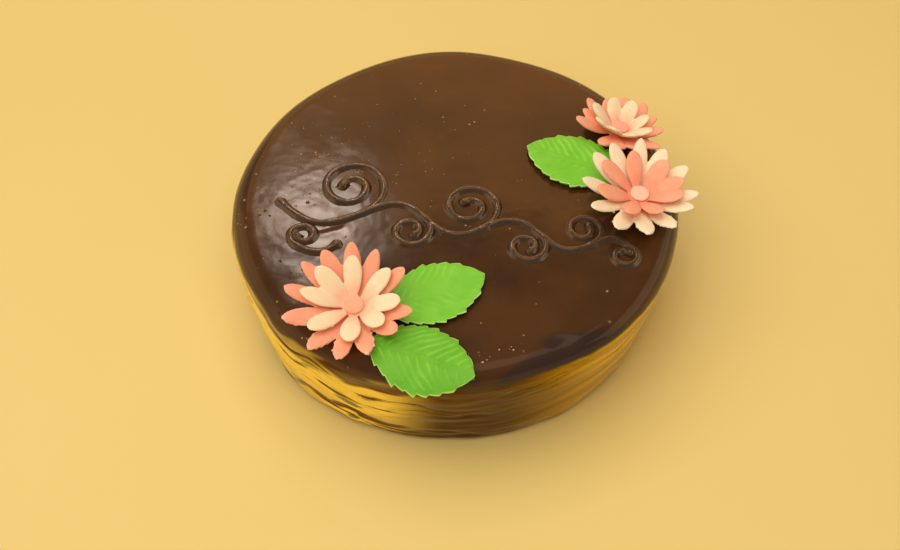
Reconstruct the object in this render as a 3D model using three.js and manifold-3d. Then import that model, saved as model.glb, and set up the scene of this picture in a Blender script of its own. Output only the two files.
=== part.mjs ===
// A glazed chocolate torte with sugar-paste flowers and leaves and a piped chocolate scroll on top.
// Millimetres, +Z up. The foot of the cake stands on z = 0, the front of the cake faces -Y.
import * as THREE from 'three';
import Module from 'manifold-3d';

const wasm = await Module();
wasm.setup();

// ---- driving dimensions -------------------------------------------------------------------------
const TAU = Math.PI * 2;
const CAKE_HEIGHT = 62.8;
const FOOT_RADIUS = 102.8; // the wall leans out from the foot
const TOP_RADIUS = 109.9;
const TOP_SHIFT = 1.0; // the top sits this far towards +X of the foot
const RIM_ROUNDING = 10;
const FOOT_CHAMFER = 1.5;
const CAKE_SECTORS = 80;
const OUTLINE_WAVES = [ // hand-spread glaze: [waves round the cake, depth, turn]
  [2, 0.5, 0.7],
  [3, 0.6, 2.1],
  [5, 0.45, 0.4],
  [8, 0.25, 1.3],
];
const WALL_RIPPLE = 0.7;

const GAP = 0.3; // clearance between a topping and what it rests on

const LEAF_LENGTH = 51.5;
const LEAF_HALF_WIDTH = 16;
const LEAF_THICKNESS = 2.2;
const LEAF_FULLNESS = 0.85; // below 1 the sides are fuller than a parabola
const LEAF_TEETH = 9; // along each side
const LEAF_TOOTH_DEPTH = 0.9;
const DRAPE_START = 98; // distance from the cake's axis where a leaf begins to droop over the rim
const DRAPE_RADIUS = 30;

const HUB_THICKNESS = 1.6;
const PETAL_THICKNESS = 1.7;
const PETAL_ROOT = 4.3;
const OUTER_RISE = 1.35; // above 1 the petal rises mostly near its tip
const INNER_RISE = 0.95;
const BUTTON_RADIUS = 4.6;
const BUTTON_HEIGHT = 1.8;

const BEAD_WIDTH = 3.4; // piped chocolate line
const BEAD_HEIGHT = 1.8;
const BLOB_RADIUS = 2.6;
const SCROLL_SWELL = 0.25; // height of each wave of the stem over its length
const SCROLL_STEP = 4.2;

// ---- helpers ------------------------------------------------------------------------------------
const radians = (degrees) => (degrees * Math.PI) / 180;

/** A closed solid from corner positions and triangles given by corner number. */
function solidFrom(corners, triangles) {
  const mesh = new wasm.Mesh({
    numProp: 3,
    vertProperties: new Float32Array(corners.flat()),
    triVerts: new Uint32Array(triangles.flat()),
  });
  return new wasm.Manifold(mesh);
}

/** Joins several solids into one. */
function join(solids) {
  return wasm.Manifold.union(solids);
}

/** Skins a row of rings, each with the same number of corners, and closes both ends with a fan. */
function skin(rings) {
  const size = rings[0].length;
  const corners = rings.flat();
  const triangles = [];
  for (let ring = 0; ring + 1 < rings.length; ring += 1) {
    for (let side = 0; side < size; side += 1) {
      const next = (side + 1) % size;
      const low = ring * size;
      const high = low + size;
      triangles.push([low + side, low + next, high + next]);
      triangles.push([low + side, high + next, high + side]);
    }
  }
  const last = (rings.length - 1) * size;
  for (let side = 1; side + 1 < size; side += 1) {
    triangles.push([0, side + 1, side]);
    triangles.push([last, last + side, last + side + 1]);
  }
  return solidFrom(corners, triangles);
}

/** A named mesh of one solid in one plain material. */
function meshOf(name, solid, colour, roughness) {
  const data = solid.getMesh();
  const geometry = new THREE.BufferGeometry();
  const positions = new Float32Array((data.vertProperties.length / data.numProp) * 3);
  for (let corner = 0; corner * 3 < positions.length; corner += 1) {
    for (let axis = 0; axis < 3; axis += 1) {
      positions[corner * 3 + axis] = data.vertProperties[corner * data.numProp + axis];
    }
  }
  geometry.setAttribute('position', new THREE.BufferAttribute(positions, 3));
  geometry.setIndex(new THREE.BufferAttribute(new Uint32Array(data.triVerts), 1));
  geometry.computeVertexNormals();
  const material = new THREE.MeshStandardMaterial({ color: colour, roughness, metalness: 0 });
  const mesh = new THREE.Mesh(geometry, material);
  mesh.name = name;
  return mesh;
}

// ---- the cake -----------------------------------------------------------------------------------
/** How far the hand-spread outline stands off a true circle at an azimuth. */
function outlineOffset(azimuth) {
  return OUTLINE_WAVES.reduce((sum, [waves, depth, turn]) => sum + depth * Math.sin(waves * azimuth + turn), 0);
}

/** One ring of the cake's skin: a radius and a height, with the outline's unevenness faded in. */
function cakeRing(radius, height, unevenness) {
  const shift = TOP_SHIFT * (height / CAKE_HEIGHT);
  const ring = [];
  for (let sector = 0; sector < CAKE_SECTORS; sector += 1) {
    const azimuth = (sector / CAKE_SECTORS) * TAU;
    const ripple = WALL_RIPPLE * Math.sin(5 * azimuth + height / 9) * Math.sin((Math.PI * height) / CAKE_HEIGHT);
    const reach = radius + unevenness * (outlineOffset(azimuth) + ripple);
    ring.push([shift + reach * Math.cos(azimuth), reach * Math.sin(azimuth), height]);
  }
  return ring;
}

function buildCake() {
  const wallTop = CAKE_HEIGHT - RIM_ROUNDING;
  const wallRadius = (height) => FOOT_RADIUS + (TOP_RADIUS - FOOT_RADIUS) * (height / wallTop);
  const rings = [cakeRing(FOOT_RADIUS - FOOT_CHAMFER, 0, 1)];
  const wallStations = 4;
  for (let station = 0; station <= wallStations; station += 1) {
    const height = FOOT_CHAMFER + ((wallTop - FOOT_CHAMFER) * station) / wallStations;
    rings.push(cakeRing(wallRadius(height), height, 1));
  }
  const rimSteps = 4;
  for (let step = 1; step <= rimSteps; step += 1) {
    const turn = (step / rimSteps) * (Math.PI / 2);
    const radius = TOP_RADIUS - RIM_ROUNDING * (1 - Math.cos(turn));
    const height = wallTop + RIM_ROUNDING * Math.sin(turn);
    rings.push(cakeRing(radius, height, Math.cos(turn) * 0.8 + 0.2));
  }
  const corners = [[0, 0, 0], ...rings.flat(), [TOP_SHIFT, 0, CAKE_HEIGHT]];
  const topCentre = corners.length - 1;
  const lastRing = 1 + (rings.length - 1) * CAKE_SECTORS;
  const triangles = [];
  for (let sector = 0; sector < CAKE_SECTORS; sector += 1) {
    const next = (sector + 1) % CAKE_SECTORS;
    triangles.push([0, 1 + next, 1 + sector]);
    triangles.push([topCentre, lastRing + sector, lastRing + next]);
    for (let ring = 0; ring + 1 < rings.length; ring += 1) {
      const low = 1 + ring * CAKE_SECTORS;
      const high = low + CAKE_SECTORS;
      triangles.push([low + sector, low + next, high + next]);
      triangles.push([low + sector, high + next, high + sector]);
    }
  }
  return solidFrom(corners, triangles);
}

// ---- leaves -------------------------------------------------------------------------------------
/** Half the width of the plain leaf blade at a distance along the midrib. */
function leafHalfWidth(along) {
  const half = LEAF_LENGTH / 2;
  const inside = Math.max(0, 1 - ((along - half) / half) ** 2);
  return LEAF_HALF_WIDTH * inside ** LEAF_FULLNESS;
}

/** Height of a leaf's upper face over a point of the cake's top: level inside, drooping past the rim. */
function restingHeight(x, y) {
  const past = Math.max(0, Math.hypot(x, y) - DRAPE_START);
  return CAKE_HEIGHT + GAP + LEAF_THICKNESS - past ** 2 / (2 * DRAPE_RADIUS);
}

/** A toothed leaf plate from its base point, running at an azimuth, rising or falling to its tip. */
function buildLeaf({ base, azimuth, tipLift }) {
  const stations = [[0.6, 0]];
  const pitch = (LEAF_LENGTH - 3) / LEAF_TEETH;
  for (let tooth = 0; tooth < LEAF_TEETH; tooth += 1) {
    const start = 2 + tooth * pitch;
    stations.push([start, 0]);
    stations.push([start + pitch * 0.8, LEAF_TOOTH_DEPTH]);
  }
  stations.push([LEAF_LENGTH - 0.4, 0]);
  const across = [-1, -0.5, 0, 0.5, 1];
  const direction = [Math.cos(radians(azimuth)), Math.sin(radians(azimuth))];
  const place = (along, aside, drop) => {
    const x = base[0] + along * direction[0] - aside * direction[1];
    const y = base[1] + along * direction[1] + aside * direction[0];
    const lift = tipLift * (along / LEAF_LENGTH) ** 2;
    return [x, y, restingHeight(x, y) + lift - drop];
  };
  const rings = stations.map(([along, tooth]) => {
    const half = leafHalfWidth(along) + tooth;
    const lower = across.map((share) => place(along, share * half, LEAF_THICKNESS));
    const upper = across.map((share) => place(along, share * half, 0)).reverse();
    return [...lower, ...upper];
  });
  return skin(rings);
}

// ---- flowers ------------------------------------------------------------------------------------
/** One petal: a slim spindle that rises from the hub to its tip. */
function buildPetal(ring, index) {
  const azimuth = radians(ring.turn + (360 / ring.petals) * index + ring.sway[index]);
  const outward = [Math.cos(azimuth), Math.sin(azimuth)];
  const reach = ring.reach[index];
  const stations = [ // [share of the length, share of the width, share of the thickness]
    [0, 0.5, 0.9],
    [0.3, 0.8, 1],
    [0.58, 1, 1],
    [0.82, 0.86, 0.9],
    [1, 0.4, 0.6],
  ];
  const rings = stations.map(([along, width, thickness]) => {
    const distance = PETAL_ROOT + (reach - PETAL_ROOT) * along;
    const rise = Math.max(0, (distance - ring.hub) / (reach - ring.hub)) ** ring.rise;
    const height = ring.level + ring.lift * ring.perk[index] * rise;
    const half = ring.halfWidth * width;
    const thick = (PETAL_THICKNESS / 2) * thickness;
    const section = [[-1, -0.2], [0, -1], [1, -0.2], [0.6, 1], [-0.6, 1]];
    return section.map(([aside, up]) => [
      distance * outward[0] - aside * half * outward[1],
      distance * outward[1] + aside * half * outward[0],
      height + up * thick,
    ]);
  });
  return skin(rings);
}

/** A ring of petals joined by a round hub. */
function buildPetalRing(ring) {
  const hub = wasm.Manifold.cylinder(HUB_THICKNESS, ring.hub, ring.hub, 16);
  const parts = [hub.translate([0, 0, ring.level - HUB_THICKNESS / 2])];
  for (let index = 0; index < ring.petals; index += 1) {
    parts.push(buildPetal(ring, index));
  }
  return join(parts);
}

/** The domed sugar button in the middle of a flower. */
function buildButton(level) {
  const waist = wasm.Manifold.cylinder(BUTTON_HEIGHT * 0.5, BUTTON_RADIUS, BUTTON_RADIUS, 16);
  const dome = wasm.Manifold.cylinder(BUTTON_HEIGHT * 0.5, BUTTON_RADIUS, BUTTON_RADIUS * 0.7, 16);
  return join([waist, dome.translate([0, 0, BUTTON_HEIGHT * 0.5])]).translate([0, 0, level]);
}

/** Turns a flower's solid to face along a leaning direction and sets it on its place. */
function settle(solid, flower) {
  const facing = new THREE.Vector3(flower.lean[0], flower.lean[1], 1).normalize();
  const sideways = new THREE.Vector3(1, 0, 0).addScaledVector(facing, -facing.x).normalize();
  const forwards = new THREE.Vector3().crossVectors(facing, sideways);
  const placed = new THREE.Matrix4().makeBasis(sideways, forwards, facing);
  placed.setPosition(flower.at[0], flower.at[1], flower.at[2]);
  return solid.transform(placed.elements);
}

const EVEN = new Array(12).fill(1); // every petal of a ring lifts alike

// `sway` turns each petal off even spacing, in degrees; `reach` is how far from the middle its tip is;
// `perk` is the share of the ring's lift that each petal has.
const flowers = [
  {
    name: 'flower_front',
    at: [-44.6, -70.4, 65.5],
    lean: [-0.026, -0.231],
    outerColour: 0xff9a7c,
    innerColour: 0xfbdcb4,
    outer: {
      petals: 12, rise: OUTER_RISE, turn: -6.4, level: 0, lift: 12.6, hub: 5.5, halfWidth: 4.1,
      sway: [-9.1, 6.8, 11.0, 9.7, 6.3, 0.6, -3.7, -4.9, -0.7, -4.0, -6.7, -5.3],
      reach: [28.1, 27.2, 25.9, 27.4, 27.4, 29.3, 31.5, 32.6, 30.6, 30.5, 28.3, 26.8],
      perk: EVEN,
    },
    inner: {
      petals: 8, rise: INNER_RISE, turn: -2.7, level: 2.0, lift: 10.6, hub: 5, halfWidth: 4.2,
      sway: [-1.6, -5.4, 5.8, 5.7, -4.9, -4.1, 0.1, 4.4],
      reach: [21.9, 21.6, 20.9, 22.2, 23.9, 24.2, 21.6, 19.8],
      perk: EVEN,
    },
  },
  {
    name: 'flower_right',
    at: [90.8, -4.2, 65.5],
    lean: [0.103, -0.065],
    outerColour: 0xfbe0bc,
    innerColour: 0xff9a7c,
    outer: {
      petals: 12, rise: OUTER_RISE, turn: -1.4, level: 0, lift: 9.9, hub: 5.5, halfWidth: 4.1,
      sway: [-4.6, 0.7, 1.4, -1.3, -2.5, -6.0, -2.4, 2.3, 2.9, 0.7, 1.6, 3.5],
      reach: [27.6, 27.2, 27.7, 29.8, 29.0, 29.4, 29.6, 30.4, 30.8, 29.4, 27.6, 26.6],
      perk: EVEN,
    },
    inner: {
      petals: 8, rise: INNER_RISE, turn: 14.2, level: 2.0, lift: 10.2, hub: 5, halfWidth: 4.2,
      sway: [-5.2, -12.2, -2.7, -0.8, 1.7, 5.5, 5.3, 13.0],
      reach: [20.6, 19.0, 20.2, 22.6, 23.9, 21.8, 19.1, 20.2],
      perk: EVEN,
    },
  },
  {
    name: 'flower_back',
    at: [85.0, 40.6, 65.5],
    lean: [0.19, 0.12],
    outerColour: 0xff9a7c,
    innerColour: 0xfbdcb4,
    outer: {
      petals: 12, rise: OUTER_RISE, turn: -8, level: 0, lift: 7.5, hub: 5.5, halfWidth: 3.7,
      sway: [1.4, -2, -3.3, -2, -1.4, 0.3, -6, -12, 2.8, 0, 1, -8],
      reach: [21.7, 20, 22.7, 20, 18.3, 22.3, 21, 25.1, 20.5, 16, 16, 24.7],
      perk: [1, 1, 1, 1, 1, 1, 1, 1, 0.45, 0.6, 0.7, 0.9],
    },
    inner: {
      petals: 8, rise: INNER_RISE, turn: 15, level: 2.0, lift: 9, hub: 5, halfWidth: 3.8,
      sway: [-5, 0, 5, 12, 10, 3, -2, -8],
      reach: [13.5, 13.8, 14.5, 17, 16.5, 15.5, 16.5, 17],
      perk: EVEN,
    },
  },
];

// ---- the piped scroll ---------------------------------------------------------------------------
/** A bead of piped chocolate that lies on the cake's top along a line of plan points. */
function buildBead(line) {
  const section = [[-0.5, 0], [0.5, 0], [0.3, 1], [-0.3, 1]];
  const rings = line.map((point, index) => {
    const before = line[Math.max(0, index - 1)];
    const after = line[Math.min(line.length - 1, index + 1)];
    const length = Math.hypot(after[0] - before[0], after[1] - before[1]);
    const heading = [(after[0] - before[0]) / length, (after[1] - before[1]) / length];
    return section.map(([aside, up]) => [
      point[0] - aside * BEAD_WIDTH * heading[1],
      point[1] + aside * BEAD_WIDTH * heading[0],
      CAKE_HEIGHT + GAP + up * BEAD_HEIGHT,
    ]);
  });
  return skin(rings);
}

/** The round blob left where a piped line starts or ends. */
function buildBlob([x, y]) {
  const blob = wasm.Manifold.cylinder(BEAD_HEIGHT * 1.15, BLOB_RADIUS, BLOB_RADIUS * 0.6, 8);
  return blob.translate([x, y, CAKE_HEIGHT + GAP]);
}

/** A waving stem whose waves each send off a curling tendril: one joined piece. */
function buildScroll({ start, azimuth, waves }) {
  const along = [Math.cos(radians(azimuth)), Math.sin(radians(azimuth))];
  const place = ([x, y]) => [
    start[0] + x * along[0] - y * along[1],
    start[1] + x * along[1] + y * along[0],
  ];
  const stem = [[0, 0]];
  const parts = [];
  let travelled = 0;
  for (const { length, side, curl, turns } of waves) {
    const steps = Math.round((length * 1.15) / SCROLL_STEP);
    for (let step = 1; step <= steps; step += 1) {
      const share = step / steps;
      stem.push([travelled + share * length, side * SCROLL_SWELL * length * Math.sin(Math.PI * share)]);
    }
    travelled += length;
    // The tendril leaves along the stem and keeps turning the way the wave was turning.
    const heading = -side * Math.atan(SCROLL_SWELL * Math.PI);
    const centre = [
      travelled + side * curl * Math.sin(heading),
      -side * curl * Math.cos(heading),
    ];
    const spiral = [];
    const curlEnd = 2.6;
    const arc = turns * TAU;
    const curlSteps = Math.round((arc * (curl + curlEnd)) / 2 / SCROLL_STEP) + 3;
    for (let step = 0; step <= curlSteps; step += 1) {
      const share = step / curlSteps;
      const radius = curl + (curlEnd - curl) * share;
      const bearing = heading + (side * Math.PI) / 2 - side * arc * share;
      spiral.push([centre[0] + radius * Math.cos(bearing), centre[1] + radius * Math.sin(bearing)]);
    }
    parts.push(buildBead(spiral.map(place)));
    parts.push(buildBlob(place(spiral[curlSteps])));
  }
  parts.push(buildBead(stem.map(place)));
  parts.push(buildBlob(place(stem[0])));
  return join(parts);
}

const scrolls = [
  {
    name: 'piped_scroll',
    start: [-86, -2],
    azimuth: -10.7,
    waves: [
      { length: 45, side: -1, curl: 18, turns: 1.75 },
      { length: 30, side: 1, curl: 10.5, turns: 1.4 },
      { length: 28, side: -1, curl: 15, turns: 1.65 },
      { length: 28, side: 1, curl: 10, turns: 1.4 },
      { length: 25, side: -1, curl: 9.5, turns: 1.4 },
      { length: 19, side: 1, curl: 6.5, turns: 1.15 },
    ],
  },
  {
    name: 'piped_curl',
    start: [-53, -29],
    azimuth: 186,
    waves: [{ length: 22, side: 1, curl: 7, turns: 1.25 }],
  },
];

const leaves = [
  { name: 'leaf_upper', base: [-31.9, -72.4], azimuth: 24.3, tipLift: 0.8 },
  { name: 'leaf_lower', base: [-38.3, -87.9], azimuth: -21.4, tipLift: 0 },
  { name: 'leaf_back', base: [85.3, 10.6], azimuth: 156.8, tipLift: 0.8 },
];

// ---- assembly -----------------------------------------------------------------------------------
const torte = new THREE.Group();
torte.name = 'glazed_torte';
torte.add(meshOf('cake', buildCake(), 0x4a2d1a, 0.22));
for (const scroll of scrolls) {
  torte.add(meshOf(scroll.name, buildScroll(scroll), 0x3f2616, 0.2));
}
for (const leaf of leaves) {
  torte.add(meshOf(leaf.name, buildLeaf(leaf), 0x86cf3c, 0.55));
}
for (const flower of flowers) {
  const outer = settle(buildPetalRing(flower.outer), flower);
  const inner = settle(buildPetalRing(flower.inner), flower);
  const button = settle(buildButton(flower.inner.level + HUB_THICKNESS / 2 + GAP), flower);
  torte.add(meshOf(`${flower.name}_outer`, outer, flower.outerColour, 0.7));
  torte.add(meshOf(`${flower.name}_inner`, inner, flower.innerColour, 0.7));
  torte.add(meshOf(`${flower.name}_button`, button, flower.outerColour, 0.7));
}

export default torte;
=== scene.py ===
"""The look of a glazed chocolate torte with sugar-paste flowers, leaves and a piped scroll.

Everything is in metres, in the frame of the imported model: +Z up, the front towards -Y, the foot of the
cake on z = 0.
"""

import logging
import math
from dataclasses import dataclass, field
from enum import Enum
from typing import Callable, Sequence, Union

import bpy
import numpy as np
from mathutils import Matrix, Vector, noise


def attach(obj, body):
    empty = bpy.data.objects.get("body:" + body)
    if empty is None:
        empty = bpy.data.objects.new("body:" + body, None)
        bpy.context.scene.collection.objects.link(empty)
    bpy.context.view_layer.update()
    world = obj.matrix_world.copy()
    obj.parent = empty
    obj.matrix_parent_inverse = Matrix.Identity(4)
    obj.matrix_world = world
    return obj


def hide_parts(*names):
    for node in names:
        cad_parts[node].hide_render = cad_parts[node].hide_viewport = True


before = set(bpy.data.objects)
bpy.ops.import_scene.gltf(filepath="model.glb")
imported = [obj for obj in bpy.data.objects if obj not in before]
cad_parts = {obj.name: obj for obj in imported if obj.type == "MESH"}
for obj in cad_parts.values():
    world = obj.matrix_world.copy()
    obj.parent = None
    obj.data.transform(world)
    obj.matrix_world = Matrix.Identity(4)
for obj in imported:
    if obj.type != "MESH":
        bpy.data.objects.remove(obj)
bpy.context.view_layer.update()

LOG = logging.getLogger("torte")
MM = 0.001
TAU = math.tau
BODY = "root"

Colour = tuple[float, float, float]
Plan = tuple[float, float]
Socket = bpy.types.NodeSocket
Value = Union[Socket, float, Sequence[float]]
Shape = Callable[[np.ndarray, np.ndarray], np.ndarray]


# ---- small helpers --------------------------------------------------------------------------------
def srgb(red: int, green: int, blue: int) -> Colour:
    """Turns a colour in screen values, 0 to 255, into linear light."""
    parts = [value / 255 for value in (red, green, blue)]
    return tuple(v / 12.92 if v <= 0.04045 else ((v + 0.055) / 1.055) ** 2.4 for v in parts)


def smoothstep(low: float, high: float, value: np.ndarray) -> np.ndarray:
    """Rises smoothly from 0 at low to 1 at high, for each value."""
    share = np.clip((value - low) / (high - low), 0, 1)
    return share * share * (3 - 2 * share)


def drift(points: np.ndarray, scale: float, seed: float, octaves: int = 3) -> np.ndarray:
    """Smooth repeatable unevenness at some points.

    Args:
        points: Positions, one row each, in metres.
        scale: Waves per metre of the coarsest layer.
        seed: Shifts the pattern, so that two uses differ.
        octaves: How many finer layers are added.

    Returns:
        One value about -1 to 1 for each point.
    """
    shifted = points * scale + seed
    return np.array([noise.fractal(Vector(p), 1.0, 2.0, octaves) for p in shifted])


def deselect() -> None:
    """Leaves nothing selected, in object mode."""
    if bpy.context.object is not None and bpy.context.object.mode != "OBJECT":
        bpy.ops.object.mode_set(mode="OBJECT")
    bpy.ops.object.select_all(action="DESELECT")


def pick(piece: bpy.types.Object) -> None:
    """Makes one piece the only selected one and the active one.

    Args:
        piece: The piece.
    """
    deselect()
    piece.select_set(True)
    bpy.context.view_layer.objects.active = piece


def named(name: str) -> bpy.types.Object:
    """Names the active object and its mesh, and gives it back.

    Args:
        name: The new name.

    Returns:
        The active object.
    """
    piece = bpy.context.object
    piece.name = name
    piece.data.name = name
    return piece


def positions(piece: bpy.types.Object) -> np.ndarray:
    """The corner positions of a piece's mesh, one row each.

    Args:
        piece: The piece.

    Returns:
        Positions in metres.
    """
    flat = np.empty(len(piece.data.vertices) * 3)
    piece.data.vertices.foreach_get("co", flat)
    return flat.reshape(-1, 3)


def move_to(piece: bpy.types.Object, points: np.ndarray) -> None:
    """Sets the corner positions of a piece's mesh."""
    piece.data.vertices.foreach_set("co", points.astype(np.float32).ravel())
    piece.data.update()


def mark(piece: bpy.types.Object, name: str, values: np.ndarray) -> None:
    """Stores one number for each corner of a piece, for its finish to read."""
    attribute = piece.data.attributes.new(name, "FLOAT", "POINT")
    attribute.data.foreach_set("value", values.astype(np.float32))


def finish_modifiers(piece: bpy.types.Object) -> None:
    """Applies all of a piece's modifiers, in order.

    Args:
        piece: The piece.
    """
    pick(piece)
    for modifier in list(piece.modifiers):
        bpy.ops.object.modifier_apply(modifier=modifier.name)


def smooth(piece: bpy.types.Object, angle: float = 180.0) -> None:
    """Shades a piece smooth, keeping edges sharper than an angle in degrees.

    Args:
        piece: The piece.
        angle: The angle from which an edge stays sharp.
    """
    pick(piece)
    if angle >= 180:
        bpy.ops.object.shade_smooth()
    else:
        bpy.ops.object.shade_smooth_by_angle(angle=math.radians(angle))


def tidy_mesh(piece: bpy.types.Object, reach: float = 1e-6) -> None:
    """Merges corners that meet and turns all faces outwards.

    Args:
        piece: The piece.
        reach: How close corners have to be, in metres.
    """
    pick(piece)
    bpy.ops.object.mode_set(mode="EDIT")
    bpy.ops.mesh.select_all(action="SELECT")
    bpy.ops.mesh.remove_doubles(threshold=reach)
    bpy.ops.mesh.normals_make_consistent(inside=False)
    bpy.ops.object.mode_set(mode="OBJECT")


def join(parts: Sequence[bpy.types.Object], name: str) -> bpy.types.Object:
    """Joins several pieces into one named piece.

    Args:
        parts: The pieces to join.
        name: The name of the result.

    Returns:
        The joined piece.
    """
    deselect()
    for part in parts:
        part.select_set(True)
    bpy.context.view_layer.objects.active = parts[0]
    bpy.ops.object.join()
    return named(name)


def copy_of(piece: bpy.types.Object) -> bpy.types.Object:
    """Copies a piece with its own mesh and puts it in the scene.

    Args:
        piece: The piece to copy.

    Returns:
        The copy.
    """
    twin = piece.copy()
    twin.data = piece.data.copy()
    bpy.context.scene.collection.objects.link(twin)
    return twin


def bin_piece(piece: bpy.types.Object) -> None:
    """Takes away a piece that was only a pattern for others."""
    bpy.data.objects.remove(piece, do_unlink=True)


def shaped_grid(name: str, columns: int, rows: int, shape: Shape) -> bpy.types.Object:
    """Shapes a flat grid into a sheet, or into a shell where its edges meet.

    Args:
        name: The piece's name.
        columns: How many cells lie along the grid.
        rows: How many cells lie across it.
        shape: Gives positions in metres from shares, 0 to 1, along and across.

    Returns:
        The shaped piece, with corners that meet merged.
    """
    deselect()
    bpy.ops.mesh.primitive_grid_add(x_subdivisions=columns, y_subdivisions=rows, size=2)
    piece = named(name)
    flat = positions(piece)
    move_to(piece, shape((flat[:, 0] + 1) / 2, (flat[:, 1] + 1) / 2))
    return piece


# ---- the unevenness of the poured glaze -----------------------------------------------------------
@dataclass(frozen=True)
class Dimple:
    """An oval place in the glaze near the front of the rim: its middle and its half sizes, in metres."""

    middle: Plan
    half_size: Plan

    def away(self, x: np.ndarray, y: np.ndarray) -> np.ndarray:
        """How far places are from the middle, where 1 is the brink."""
        return np.hypot((x - self.middle[0]) / self.half_size[0], (y - self.middle[1]) / self.half_size[1])


@dataclass(frozen=True)
class Smear:
    """A short step that a touch left in the glaze: start and length in metres, depth and below in mm."""

    start: Plan = (-0.0654, -0.0236)
    heading: Plan = (0.944, 0.331)
    length: float = 0.0124
    depth: float = 0.11
    softness: float = 1.1
    reach: float = 5.5

    def swell(self, x: np.ndarray, y: np.ndarray) -> np.ndarray:
        """How far the step lifts the glaze, in millimetres, at places in metres.

        Args:
            x: Places along X.
            y: Places along Y.

        Returns:
            A height for each place.
        """
        ahead, over = self.heading
        along = ((x - self.start[0]) * ahead + (y - self.start[1]) * over) / self.length
        aside = ((y - self.start[1]) * ahead - (x - self.start[0]) * over) / MM
        within = smoothstep(-0.15, 0.1, along) * (1 - smoothstep(0.85, 1.15, along))
        return within * self.depth * np.tanh(aside / self.softness) * np.exp(-((aside / self.reach) ** 2))


HOLLOW = Dimple((0.0483, -0.0880), (0.0090, 0.0056))
HOLLOW_SHADE = Dimple((0.0488, -0.0895), (0.0095, 0.0062))
SMEAR = Smear()


def glaze_swell(x: np.ndarray, y: np.ndarray) -> np.ndarray:
    """How far the poured glaze stands above its level, in metres, at places on the top.

    Args:
        x: Places along X, in metres.
        y: Places along Y, in metres.

    Returns:
        A height for each place.
    """
    flat = np.stack([x, y, x * 0], 1)
    broad = drift(flat, 9, 4.0, 1) * 0.20 + drift(flat, 24, 11.0, 2) * 0.11
    wavy = 1 - 2 * np.abs(drift(flat * (1.0, 1.9, 1.0), 15, 7.3, 2))
    wavy = np.clip(wavy, 0, 1) ** 4 * smoothstep(-0.02, 0.06, y) * 0.07
    away = HOLLOW.away(x, y)
    dent = 0.10 * np.exp(-((away - 1) / 0.3) ** 2) - 0.3 * (1 - smoothstep(0.1, 1.05, away))
    return (broad + wavy + dent + SMEAR.swell(x, y)) * MM


# ---- node graphs ----------------------------------------------------------------------------------
@dataclass
class Graph:
    """Writes shader nodes into one node tree."""

    tree: bpy.types.NodeTree

    def add(self, kind: str, **settings: object) -> bpy.types.Node:
        """Adds a node of a kind and sets some of its settings.

        Args:
            kind: The node's type.
            settings: Its settings, by name.

        Returns:
            The new node.
        """
        node = self.tree.nodes.new(kind)
        for key, value in settings.items():
            setattr(node, key, value)
        return node

    def feed(self, socket: Socket, value: Value) -> None:
        """Links a socket to another, or sets its own value.

        Args:
            socket: The input to feed.
            value: Another node's output, a number, or the parts of a vector or a colour.
        """
        if isinstance(value, bpy.types.NodeSocket):
            self.tree.links.new(value, socket)
        elif isinstance(value, (int, float)):
            socket.default_value = value
        else:
            wanted = len(socket.default_value)
            socket.default_value = (*value, 1.0)[:wanted] if len(value) < wanted else tuple(value)

    def maths(self, operation: str, first: Value, second: Value = 0.0, clamp: bool = False) -> Socket:
        """Does arithmetic on one or two values.

        Args:
            operation: The Math node's operation.
            first: The first value.
            second: The second value.
            clamp: Whether the result is kept from 0 to 1.

        Returns:
            The result.
        """
        node = self.add("ShaderNodeMath", operation=operation, use_clamp=clamp)
        self.feed(node.inputs[0], first)
        self.feed(node.inputs[1], second)
        return node.outputs[0]

    def spread(self, value: Value, low: float, high: float, start: float = 0.0, end: float = 1.0) -> Socket:
        """Eases a value from one range to another.

        Args:
            value: The value to change.
            low: Where the result is start.
            high: Where the result is end.
            start: The result at low and before.
            end: The result at high and beyond.

        Returns:
            The eased value.
        """
        node = self.add("ShaderNodeMapRange", interpolation_type="SMOOTHSTEP")
        for socket, number in zip(node.inputs, (value, low, high, start, end), strict=False):
            self.feed(socket, number)
        return node.outputs[0]

    def mix(self, share: Value, first: Value, second: Value) -> Socket:
        """Mixes two colours by a share from 0 to 1.

        Args:
            share: How much of the second colour shows.
            first: The first colour.
            second: The second colour.

        Returns:
            The mixed colour.
        """
        node = self.add("ShaderNodeMix", data_type="RGBA")
        self.feed(node.inputs[0], share)
        self.feed(node.inputs[6], first)
        self.feed(node.inputs[7], second)
        return node.outputs[2]

    def stretched(self, vector: Socket, scale: Sequence[float], turn: Sequence[float] = (0, 0, 0)) -> Socket:
        """Scales and turns pattern coordinates.

        Args:
            vector: The coordinates.
            scale: A factor along each axis.
            turn: Radians about each axis.

        Returns:
            The changed coordinates.
        """
        node = self.add("ShaderNodeMapping")
        self.feed(node.inputs["Vector"], vector)
        node.inputs["Scale"].default_value = scale
        node.inputs["Rotation"].default_value = turn
        return node.outputs[0]

    def cloud(self, vector: Socket, scale: Value, detail: float = 3.0, roughness: float = 0.5) -> Socket:
        """Soft cloudy noise, about 0 to 1.

        Args:
            vector: Where the noise is read.
            scale: Clouds per metre.
            detail: How many finer layers are added.
            roughness: How strong each finer layer is.

        Returns:
            The noise.
        """
        node = self.add("ShaderNodeTexNoise")
        self.feed(node.inputs["Vector"], vector)
        self.feed(node.inputs["Scale"], scale)
        node.inputs["Detail"].default_value = detail
        node.inputs["Roughness"].default_value = roughness
        return node.outputs[0]

    def use(self, group: bpy.types.NodeTree, **values: Value) -> bpy.types.Node:
        """Places a node group and feeds its inputs, an underscore standing for a space.

        Args:
            group: The group.
            values: A value or an output for each of its inputs, by name.

        Returns:
            The placed group.
        """
        node = self.add("ShaderNodeGroup", node_tree=group)
        for key, value in values.items():
            self.feed(node.inputs[key.replace("_", " ")], value)
        return node


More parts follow.
